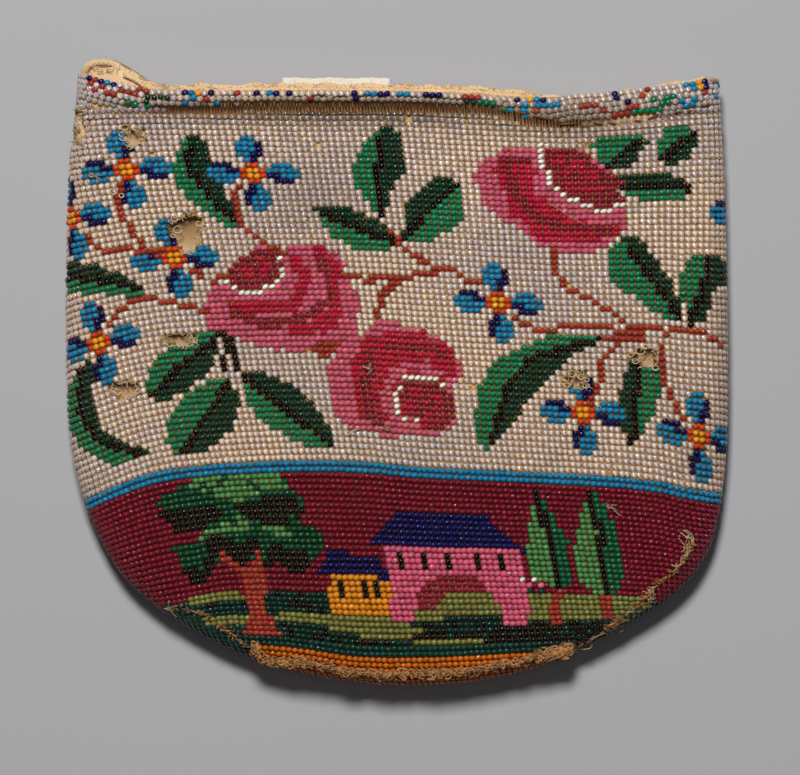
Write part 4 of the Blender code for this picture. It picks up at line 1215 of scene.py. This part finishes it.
def makeGround():
    settings = dict(inset=0.00030, thickness=0.0007, rows=92, frontColumns=104, backColumns=40, low=0.0004)

    def top(x):
        return mouthAt(x) - settings["low"]

    points, faces = bagShell(settings["inset"], top, top, settings["rows"], settings["frontColumns"],
                             settings["backColumns"], 1.0)
    centres = np.array([points[list(face)].mean(axis=0) for face in faces])
    px, py = chartOf(centres[:, 0], centres[:, 1])
    worn = np.zeros(len(faces), dtype=bool)
    for name in wornHoles:
        worn |= insideShape(holeShape(name), px, py)
    worn |= insideShape(tornCorner["cloth"], px, py)
    worn &= centres[:, 2] > middleHeight * 0.9
    faces = [face for face, gone in zip(faces, worn) if not gone]
    ground = turnedOut(plainMesh("knitGround", points, faces, knitYarn))
    x, y, z = pointsOf(ground)
    px, py = chartOf(x, y)
    middle, pitch = columnPlace(0, py)
    stitch = np.column_stack([(px - (middle - pitch / 2)) / pitch, py / 5.6])
    layer = ground.data.uv_layers.new(name="stitches")
    corners = np.zeros(len(ground.data.loops), dtype=np.int32)
    ground.data.loops.foreach_get("vertex_index", corners)
    layer.data.foreach_set("uv", stitch[corners].astype(np.float32).ravel())
    # painted shade: the ground darker beside the dark beads, on the back below the band, and in the groove
    # under the rim
    tint = np.array([yarnTones[hue] for hue in hueNear(px, py)]) ** 1.15
    onBack = z < middleHeight * 0.9
    belowBand = py > curveAt(bandLine, px)
    tint[onBack] = np.where(belowBand[onBack], 0.25, 1.0)[:, None]
    below = mouthAt(x) - y - rimWidthAt(x)
    grooveShade = np.clip(np.minimum(below / 0.0006 + 1, (bag["grooveWidth"] - below) / 0.0016), 0, 1)
    grooveShade *= np.clip((230 - np.abs(px - 375)) / 25, 0, 1)
    tint *= 1 - grooveShade[:, None] * (1 - np.array([0.065, 0.045, 0.033]))
    paintPoints(ground, "shade", tint)
    return thickened(ground, settings["thickness"])


ground = makeGround()
carry(ground, "crystal_beads", "beaded_bag")
print("ground knitted")

liningFrontTop = smoothLine(place([
    (60, 74), (80, 70), (90, 66), (103, 68), (118, 67), (135, 75), (158, 86), (185, 87), (200, 83), (214, 87),
    (250, 85), (300, 85), (400, 86), (480, 88), (540, 95), (575, 99), (610, 94), (660, 86), (700, 79),
    (740, 75)]))
liningBackTop = smoothLine(place([
    (60, 74), (82, 66), (92, 59), (104, 57), (118, 60), (135, 70), (155, 82), (185, 86), (200, 82), (214, 86),
    (300, 85), (400, 86), (480, 88), (540, 94), (575, 98), (610, 93), (660, 85), (700, 77), (740, 74)]))


def makeLining():
    settings = dict(inset=0.0020, thickness=0.0005, rows=90, frontColumns=110, backColumns=30)
    points, faces = bagShell(
        settings["inset"], lambda x: curveAt(liningFrontTop, x), lambda x: curveAt(liningBackTop, x),
        settings["rows"], settings["frontColumns"], settings["backColumns"])
    px, py = chartOf(points[:, 0], points[:, 1])
    isFront = points[:, 2] > middleHeight * 1.02
    for name, ((middleX, middleY), halfWidth, halfHeight) in wornHoles.items():  # it puffs up in the holes
        away = ((px - middleX) / (halfWidth * 1.1)) ** 2 + ((py - middleY) / (halfHeight * 1.2)) ** 2
        points[:, 2] += np.where(isFront, (-0.0008 if name == "upper" else 0.0004) * np.exp(-away), 0)
    crease = 0.00022 * np.sin(px * 0.19 + 2 * np.sin(py * 0.07)) * np.sin(py * 0.23 + np.sin(px * 0.05))
    points[:, 2] += np.where(isFront, crease, 0)
    bulge = np.exp(-((py - 128) / 10) ** 2) * np.exp(-((px - 74) / 14) ** 2)  # it comes out at the torn edge
    points[:, 0] -= 0.0030 * bulge
    points[:, 2] += 0.0016 * bulge * (points[:, 2] > middleHeight * 0.98)
    piece = turnedOut(plainMesh("liningBag", points, faces, liningCloth))
    x, y, z = pointsOf(piece)
    px, py = chartOf(x, y)
    # painted shade: the lining darker at its top edge and on the back inside the mouth, and in each hole
    # darker under the hole's upper edge
    liningShade = np.where(z < middleHeight, 0.5, 1.0) * np.clip((py - 55) / 6, 0, 1)
    for (middleX, middleY), halfWidth, halfHeight in wornHoles.values():
        lower = (py - middleY) / halfHeight
        near = np.exp(-(((px - middleX) / (halfWidth * 1.3)) ** 2 + (lower / 1.3) ** 2) ** 2)
        liningShade *= 1 - near * np.clip(0.50 - 0.26 * lower, 0.15, 0.8)
    paintPoints(piece, "shade", np.column_stack([liningShade, liningShade ** 1.2, liningShade ** 1.5]))
    return thickened(piece, settings["thickness"])


lining = makeLining()
carry(lining, "lining_cloth", "lining_bag")
print("lining made")


# The beads of the rolled rim, and the yarn of the groove under it

rimDots = dict(
    navy=[(91, 75), (100, 80), (109, 79), (113, 78), (186, 92), (186, 96), (208, 91), (260, 94), (279, 96),
          (288, 96), (354, 95), (381, 95), (386, 94), (390, 94), (427, 94), (431, 95), (436, 95), (441, 95),
          (358, 102), (520, 99), (544, 99), (605, 110), (613, 97), (617, 102), (625, 103), (682, 76),
          (687, 85), (706, 84), (709, 88)],
    turquoise=[(98, 77), (106, 76), (192, 94), (192, 100), (186, 106), (267, 94), (273, 94), (218, 103),
               (367, 96), (373, 95), (400, 95), (405, 96), (409, 96), (537, 98), (523, 105), (524, 110),
               (525, 116), (535, 105), (540, 106), (546, 106), (551, 107), (555, 107), (512, 114),
               (512, 120), (520, 122), (686, 79), (691, 78), (697, 77), (701, 81), (692, 86), (693, 91),
               (720, 86), (716, 94), (708, 94), (683, 99), (684, 104), (689, 108), (694, 98), (695, 103),
               (693, 109)],
    yellow=[(200, 91), (198, 94), (531, 102), (698, 85), (698, 90)],
    brick=[(94, 79), (91, 84), (97, 90), (102, 89), (146, 87), (139, 89), (133, 94), (127, 91), (121, 94),
           (117, 96), (113, 96), (107, 95), (205, 100), (237, 91), (237, 96), (312, 98), (467, 95),
           (471, 95), (476, 96), (537, 110), (583, 105), (588, 108), (594, 108), (600, 111), (613, 116),
           (619, 116), (627, 115), (629, 108), (636, 107), (640, 99), (644, 92), (644, 85), (703, 96)],
    emerald=[(126, 102), (132, 103), (138, 104), (144, 104), (150, 106), (478, 107), (484, 108), (490, 108),
             (496, 108), (501, 109), (633, 118), (639, 116), (643, 113), (645, 109), (650, 111), (653, 108),
             (654, 103), (660, 102), (660, 107), (666, 99), (667, 104), (672, 98)],
    darkGreen=[(150, 97), (155, 98), (160, 99), (166, 101), (146, 101), (464, 109), (469, 109), (474, 110)],
)


def layRim():
    # short rows round the roll, laid from the mouth down to the groove
    settings = dict(pitch=6.5, rows=7, rowStep=0.00142, first=0.0004, drop=0.0009, spread=0.00012)
    rng = np.random.default_rng(31)
    found = []
    pitch = settings["pitch"] * stepX
    for row in range(settings["rows"]):
        u = np.arange(across(62), across(742), pitch) + (row % 2) * 0.25 * settings["pitch"] * stepX
        lower = np.clip(np.minimum(u - across(128), across(575) - u) / (24 * stepX), 0, 1) * settings["drop"]
        below = settings["first"] + lower + row * settings["rowStep"]
        below = below + rng.normal(0, settings["spread"], len(u))
        inside = below < rimWidthAt(u) + 0.0003
        found.append(np.column_stack([u, mouthAt(u) - below])[inside])
    u, v = np.vstack(found).T
    where, rowWay, out, reach = pillowFrame(u, v, 1)
    where, rowWay, out = (values[reach > 0.0004] for values in (where, rowWay, out))
    px, py = chartOf(where[:, 0], where[:, 1])
    hue = np.full(len(px), "crystal", dtype="U12")
    for name, places in rimDots.items():
        for dotX, dotY in places:
            hue[np.argmin((px - dotX) ** 2 + (py - dotY) ** 2)] = name
    return dict(where=where, rowWay=rowWay, out=out, hue=hue, pitch=np.full(len(px), settings["pitch"]),
                px=px, py=py, rng=rng)


rim = layRim()
isClear = rim["hue"] == "crystal"
beadPiece("rimCrystalBeads", rim, isClear, 1.0, crystalGlass, 8, 5, "crystal_beads")
beadPiece("rimColourBeads", rim, ~isClear, 1.04, opaqueGlass, 8, 5, "navy_beads")


def tube(line, radius, sides=5):
    # points and faces of a closed tube along a line, with one radius or a radius for each point
    line = np.asarray(line, dtype=float)
    radius = np.broadcast_to(radius, len(line))
    way = np.gradient(line, axis=0)
    way /= np.maximum(np.linalg.norm(way, axis=1), 1e-12)[:, None]
    first = np.cross(way, (0.05, 0.02, 1.0))
    first /= np.maximum(np.linalg.norm(first, axis=1), 1e-9)[:, None]
    second = np.cross(first, way)
    ring = [line + (first * math.cos(t) + second * math.sin(t)) * radius[:, None]
            for t in np.arange(sides) * 2 * math.pi / sides]
    points = np.stack(ring, axis=1).reshape(-1, 3)
    faces = []
    for row in range(len(line) - 1):
        for k in range(sides):
            a, b = row * sides + k, row * sides + (k + 1) % sides
            faces.append((a, b, b + sides, a + sides))
    faces.append(tuple(range(sides - 1, -1, -1)))
    faces.append(tuple(range((len(line) - 1) * sides, len(line) * sides)))
    return points, faces


def threadPiece(name, threads, finish, slot, sides=5, *nodes):
    # one piece of many yarns: each is a line, its radius and its tint
    points, faces, tints, start = [], [], [], 0
    for line, radius, tint in threads:
        somePoints, someFaces = tube(line, radius, sides)
        points.append(somePoints)
        faces += [tuple(i + start for i in face) for face in someFaces]
        tints.append(np.repeat(np.broadcast_to(tint, (len(line), 3)), sides, axis=0))
        start += len(somePoints)
    piece = turnedOut(plainMesh(name, np.vstack(points), faces, finish), False)
    paintPoints(piece, "beadColour", np.vstack(tints))
    return carry(piece, slot, *nodes)


def onFront(places, lift=0.0):
    # chart places laid on the front, raised by lift
    px, py = np.asarray(places, dtype=float)[:, :2].T
    x, y = across(px), along(py)
    frontZ, _, raised = wallHeights(x, y, 0.0)
    return np.column_stack([x, y, frontZ + rimRelief(x, y) * raised + lift])


def makeRibs():
    # the knitted ribs of the groove, with painted shade: dark under the rim and paler below
    settings = dict(pitch=3.25, radius=0.00034, lift=0.00005)
    rng = np.random.default_rng(41)
    threads = []
    for px in np.arange(152, 612, settings["pitch"]):
        x = across(px)
        top = mouthAt(x) - rimWidthAt(x) + 0.0004
        reach = bag["grooveWidth"] * float(np.interp(px, [145, 190, 560, 612], [0.35, 0.9, 0.9, 0.4]))
        reach *= rng.uniform(0.8, 1.15)
        t = np.linspace(0, 1, 6)
        py = chart["middleY"] - (top - reach * t) / stepY
        line = onFront(np.column_stack([px + 1.2 * t + rng.normal(0, 0.3), py]), settings["lift"])
        # painted shade: each rib dark under the rim and paler at its foot, greyer towards the right
        share = float(np.clip((px - 440) / 60, 0, 1))
        dark = (1 - share) * np.array([0.13, 0.085, 0.06]) + share * np.array([0.30, 0.25, 0.23])
        pale = (1 - share) * np.array([0.55, 0.42, 0.30]) + share * np.array([0.55, 0.48, 0.43])
        fade = np.clip(t * 1.3 - 0.3, 0, 1)[:, None]
        tint = ((1 - fade) * dark + fade * pale) * rng.normal(1, 0.12)
        threads.append((line, settings["radius"] * rng.normal(1, 0.1), tint))
    return threads


threadPiece("grooveRibs", makeRibs(), strandYarn, "crystal_beads", 4)


def makeHem():
    # the folded edge of the lining along the front of the mouth, and the loop at its left end
    rng = np.random.default_rng(43)
    px = np.linspace(124, 712, 150)
    x = across(px)
    y = curveAt(liningFrontTop, x)
    rough = 0.00022 * np.sin(px * 0.21 + 2 * np.sin(px * 0.043)) + 0.00010 * np.sin(px * 0.83)
    frontZ, _, _ = wallHeights(x, y, 0.0020)
    fold = np.column_stack([x, y - 0.0005 + rough, frontZ + 0.0001])
    under = np.column_stack([x, y - 0.0014 + rough * 0.6, frontZ + 0.0005])
    loopLine = smoothLine([(84, 75, 7.0), (85, 66, 8.4), (92, 61, 9.3), (103, 60, 9.8), (114, 62, 10.0),
                           (121, 67, 10.2), (128, 71, 10.4), (140, 78, 10.6)], steps=6)
    loop = np.column_stack([across(loopLine[:, 0]), along(loopLine[:, 1]) - 0.0006, loopLine[:, 2] / 1000])
    threads = [(fold, 0.00085 + 0.4 * rough, 1.0), (under, 0.00075 - 0.3 * rough, (0.90, 0.84, 0.76)),
               (loop, 0.00095, 1.0)]
    for _ in range(260):  # loose threads at the edge of the cloth
        at = rng.uniform(88, 714)
        x = across(at)
        y = curveAt(liningFrontTop, x) - rng.uniform(-0.0003, 0.0012)
        z = wallHeights(np.array([x]), np.array([y]), 0.0012)[0][0]
        way = rng.normal(0, 1, 2) * (0.0008, 0.00045)
        t = np.linspace(0, 1, 5)
        curl = rng.normal(0, 0.0003, 2)
        line = np.column_stack([
            x + way[0] * t + curl[0] * np.sin(3 * t), y + way[1] * t + curl[1] * np.sin(4 * t),
            z + 0.0004 * np.sin(math.pi * t)])
        threads.append((line, 0.00007, rng.uniform(0.7, 1.1)))
    return threads


hem = threadPiece("liningHem", makeHem(), liningCloth, "lining_cloth", 8)
paintPoints(hem, "shade", np.ones((len(hem.data.vertices), 3)))
print("rim and hem made")


def makeTape():
    # a woven tape sewn inside the mouth; its upper edge shows
    settings = dict(thickness=0.0004, columns=72, rows=14)
    low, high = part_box("label_tape")
    s, t = np.meshgrid(np.linspace(0, 1, settings["columns"]), np.linspace(0, 1, settings["rows"]))
    s, t = s.ravel(), t.ravel()
    x = low[0] + (high[0] - low[0]) * s
    y = (low[1] - 0.001 + (high[1] - low[1] + 0.001) * t
         + t * (0.00012 * np.sin(s * 17) + 0.00007 * np.sin(s * 61)))
    z = (low[2] + high[2]) / 2 + 0.00010 * np.sin(s * 23 + 4 * t) + 0.0003 * np.sin(s * 5) * t
    points = np.column_stack([x, y, z])
    width = settings["columns"]
    faces = [(r * width + k, r * width + k + 1, (r + 1) * width + k + 1, (r + 1) * width + k)
             for r in range(settings["rows"] - 1) for k in range(width - 1)]
    piece = plainMesh("wovenTape", points, faces, tapeCloth)
    paintPoints(piece, "shade", np.ones((len(points), 3)))
    return thickened(piece, settings["thickness"], 0.0)


tape = makeTape()
carry(tape, "tape_cloth", "label_tape")


# The looped braid, the frayed yarn and the tacking stitches

braidPoints = [
    (254, 645), (258, 653), (265, 660), (283, 661.5), (312, 663.5), (340, 670), (369, 673), (400, 674),
    (430, 673), (457, 671), (486, 668), (515, 662), (543, 655), (562, 651), (572, 648),
]


def makeBraid():
    settings = dict(strand=0.00044, wind=0.00052, lift=0.0012, turns=74, loops=520)
    rng = np.random.default_rng(51)
    line = onFront(smoothLine(braidPoints, steps=30), settings["lift"])
    t = np.linspace(0, 1, len(line))
    fat = 0.9 + 0.85 * np.exp(-((t - 0.92) / 0.05) ** 2) + 0.2 * np.sin(t * 90) * np.sin(t * 37)
    threads = []
    for k in range(4):
        angle = t * settings["turns"] * math.pi + k * math.pi / 2
        winding = np.column_stack([0.2 * np.cos(angle), np.cos(angle), np.sin(angle)])
        wound = line + winding * (settings["wind"] * fat)[:, None]
        threads.append((wound, settings["strand"] * fat * 0.9, rng.uniform(0.8, 1.15)))
    for _ in range(settings["loops"]):
        at = rng.uniform(0.0, 1.0)
        middle = np.array([np.interp(at, t, line[:, k]) for k in range(3)])
        spin = rng.uniform(0, 2 * math.pi)
        size = rng.uniform(0.0004, 0.0009) * float(np.interp(at, t, fat))
        angle = np.linspace(0, rng.uniform(2.0, 4.4), 8)
        out = rng.uniform(-1.0, 1.0)
        loop = middle + np.column_stack([
            size * np.cos(angle + spin) + rng.normal(0, 0.0003), size * np.sin(angle + spin) + out * 0.0012,
            0.0010 * math.sqrt(max(0, 1 - out * out)) + 0.0004 * np.sin(2 * angle + spin)])
        threads.append((loop, rng.uniform(0.00012, 0.00022), rng.uniform(0.5, 1.7)))
    return threads


threadPiece("loopedBraid", makeBraid(), braidYarn, "braid_yarn", 4, "bottom_braid")


def wisp(start, heading, length, rng, lift=0.0007, wave=1.0):
    # one loose end of yarn from a chart place; length in chart units
    t = np.linspace(0, 1, 9)
    turn = heading + rng.normal(0, 1.2) * t
    step = length / 8
    px = start[0] + np.concatenate([[0], np.cumsum(np.cos(turn[1:]) * step)])
    py = start[1] - np.concatenate([[0], np.cumsum(np.sin(turn[1:]) * step)])
    phase = rng.uniform(0, 6)
    px = px + wave * np.sin(t * 9 + phase) * t
    py = py + wave * np.cos(t * 8 + phase) * t
    height = lift + 0.0006 * np.sin(math.pi * t * rng.uniform(0.5, 1.3)) * rng.uniform(0.2, 1.4)
    return onFront(np.column_stack([px, py]), height)


tufts = [  # place, reach, how many ends, heading in degrees (None is all round)
    ((610, 508), 8, 7, None), ((692, 537), 8, 12, 200), ((686, 546), 7, 8, None), ((686, 555), 6, 6, None),
    ((677, 567), 7, 7, None), ((170, 611), 7, 8, None), ((266, 664), 8, 9, 100), ((96, 177), 6, 8, None),
    ((613, 629), 6, 8, None), ((648, 598), 7, 8, 20), ((628, 612), 6, 6, 60), ((500, 222), 4, 3, None),
    ((618, 190), 4, 3, None), ((352, 432), 5, 5, None), ((385, 428), 4, 5, 90), ((371, 370), 5, 5, None),
    ((78, 140), 6, 8, 240), ((82, 112), 6, 7, 120), ((712, 82), 5, 6, 70), ((78, 128), 6, 7, 180),
    ((255, 655), 5, 6, 120), ((570, 650), 6, 6, 330), ((655, 588), 7, 4, 200), ((641, 478), 2, 1, 90),
]


seams = [  # where the front is sewn to the back and the yarn has frayed: line, width, and how many ends
    ([(164, 607), (187, 609), (203, 615), (216, 622), (228, 631), (238, 639), (247, 646), (255, 652)], 1.0,
     90),
    ([(690, 536), (687, 554), (678, 567), (667, 576), (660, 581), (655, 588), (645, 595), (642, 603),
      (633, 609), (624, 620), (612, 626), (601, 635), (591, 638), (588, 646), (573, 648)], 0.8, 110),
    ([(608, 629), (614, 625), (621, 622)], 2.6, 70), ([(688, 548), (686, 556)], 1.6, 16),
    ([(650, 590), (642, 600)], 1.6, 18), ([(541, 655), (556, 653), (570, 650)], 3.0, 90),
]


looseLoops = [
    ((178, 230), 4.2), ((175, 219), 3.6), ((199, 224), 2.6), ((640, 351), 4.4), ((572, 374), 3.8),
    ((581, 377), 3.0), ((125, 128), 3.6), ((114, 192), 3.4), ((122, 196), 2.6), ((118, 392), 3.4),
    ((180, 344), 3.2), ((655, 368), 3.0),
]


def makeFray():
    rng = np.random.default_rng(61)
    threads = []
    for seam, spread, ends in seams:
        line = smoothLine(seam, steps=16)
        for _ in range(ends):
            at = rng.integers(0, len(line) - 2)
            way = line[at + 1] - line[at]
            heading = math.atan2(-way[1], way[0]) + rng.normal(0, 0.7)
            start = line[at] + rng.normal(0, spread, 2)
            tone = np.array([0.86, 0.55, 0.32]) * rng.uniform(0.6, 1.25)
            threads.append((wisp(start, heading, rng.uniform(2, 6), rng, 0.0004, 0.5),
                            rng.uniform(0.00010, 0.00020), tone))
    for name, ((middleX, middleY), halfWidth, halfHeight) in wornHoles.items():
        edge = holeShape(name, 0.5)
        for index in rng.integers(0, len(edge), 30):
            px, py = edge[index]
            inward = math.atan2(py - middleY, middleX - px)
            tone = rng.uniform(0.85, 1.25)
            threads.append((wisp((px, py), inward + rng.normal(0, 1.1), rng.uniform(3, 8), rng, 0.0002, 0.8),
                            rng.uniform(0.00010, 0.00016), tone))
        for _ in range(7):  # closed little loops of the dropped stitches
            index = rng.integers(0, len(edge))
            px, py = edge[index]
            angle = np.linspace(0, 5.6, 10) + rng.uniform(0, 6)
            size = rng.uniform(1.6, 3.4)
            ring = np.column_stack([px + size * np.cos(angle), py + size * 0.8 * np.sin(angle)])
            threads.append((onFront(ring, 0.0006 + 0.0003 * np.sin(angle)), 0.00015, rng.uniform(0.9, 1.3)))
    for place, reach, ends, degrees in tufts:
        for _ in range(ends):
            if degrees is None:
                heading = rng.uniform(0, 2 * math.pi)
            else:
                heading = math.radians(degrees) + rng.normal(0, 0.7)
            start = np.array(place) + rng.normal(0, 1.5, 2)
            threads.append((wisp(start, heading, reach * rng.uniform(0.6, 1.4), rng),
                            rng.uniform(0.0001, 0.00015), rng.uniform(0.7, 1.2)))
    for (px, py), size in looseLoops:
        angle = np.linspace(0, 2 * math.pi * 0.94, 14)
        ring = np.column_stack([px + size * np.cos(angle), py + size * 0.85 * np.sin(angle)])
        threads.append((onFront(ring, 0.0008 + 0.0003 * np.sin(angle)), 0.00017, (1.25, 1.2, 1.1)))
    loose = [(565, 648), (578, 650), (590, 649), (593, 644), (592, 640), (598, 636), (605, 633)]
    threads.append((onFront(smoothLine(loose, steps=6), 0.0011), 0.00016, 1.0))
    pulled = [(548, 203), (565, 214), (585, 226)]
    threads.append((onFront(smoothLine(pulled, steps=4), 0.0006), 0.00008, 1.0))
    return threads


threadPiece("frayedYarn", makeFray(), frayYarn, "crystal_beads", 3)

stitchPlaces = [
    ((531, 116), (550, 120)), ((559, 125), (577, 124)), ((593, 123), (603, 125)), ((609, 123), (616, 125)),
    ((635, 121), (641, 122)), ((648, 120), (659, 114)), ((675, 113), (681, 112)), ((687, 112), (692, 111)),
    ((703, 107), (709, 104)), ((520, 113), (527, 115)),
]
stitches = []
for start, end in stitchPlaces:
    t = np.linspace(0, 1, 7)
    places = np.outer(1 - t, start) + np.outer(t, end)
    stitches.append((onFront(places, 0.0006 - 0.0007 * (2 * t - 1) ** 4), 0.00026, 1.0))
threadPiece("tackingStitches", stitches, stitchYarn, "braid_yarn", 6)
print("braid and frayed yarn made")


# Floor, light and camera

floorFinish = Finish("paperFloor", 0.9)
floorFinish.drive("Base Color", floorFinish.mix(floorFinish.noise(3.0), linearColour("aeaeb1"),
                                                 linearColour("b3b3b6")))
floor = plainMesh("floor", [(-2, -2, -0.0005), (2, -2, -0.0005), (2, 2, -0.0005), (-2, 2, -0.0005)],
                  [(0, 1, 2, 3)], floorFinish, False)

lamps = [  # name, place, size, watts, colour
    ("topLamp", (-0.14, 0.90, 1.52), 0.36, 30.5, (1.0, 0.99, 0.975)),
    ("fillLamp", (0.06, -0.10, 1.4), 0.60, 0.85, (0.97, 0.98, 1.0)),
]
for name, spot, size, watts, colour in lamps:
    light = bpy.data.lights.new(name, "AREA")
    light.size = size
    light.energy = watts
    light.color = colour
    lamp = link(bpy.data.objects.new(name, light))
    lamp.location = spot
    lamp.rotation_euler = (-Vector(spot)).to_track_quat("-Z", "Y").to_euler()

world = bpy.data.worlds.new("studio")
world.use_nodes = True
world.node_tree.nodes["Background"].inputs["Color"].default_value = (0.95, 0.97, 1.0, 1)
world.node_tree.nodes["Background"].inputs["Strength"].default_value = 0.03
bpy.context.scene.world = world
bpy.context.scene.view_settings.view_transform = "Standard"

view = dict(height=1.4, frameWidth=800 * stepX, centre=(400, 387.5), planeHeight=0.012)
camera = bpy.data.cameras.new("camera")
camera.lens = camera.sensor_width * (view["height"] - view["planeHeight"]) / view["frameWidth"]
camera.clip_start = 0.05
eye = link(bpy.data.objects.new("camera", camera))
eye.location = (across(view["centre"][0]), along(view["centre"][1]), view["height"])
bpy.context.scene.camera = eye
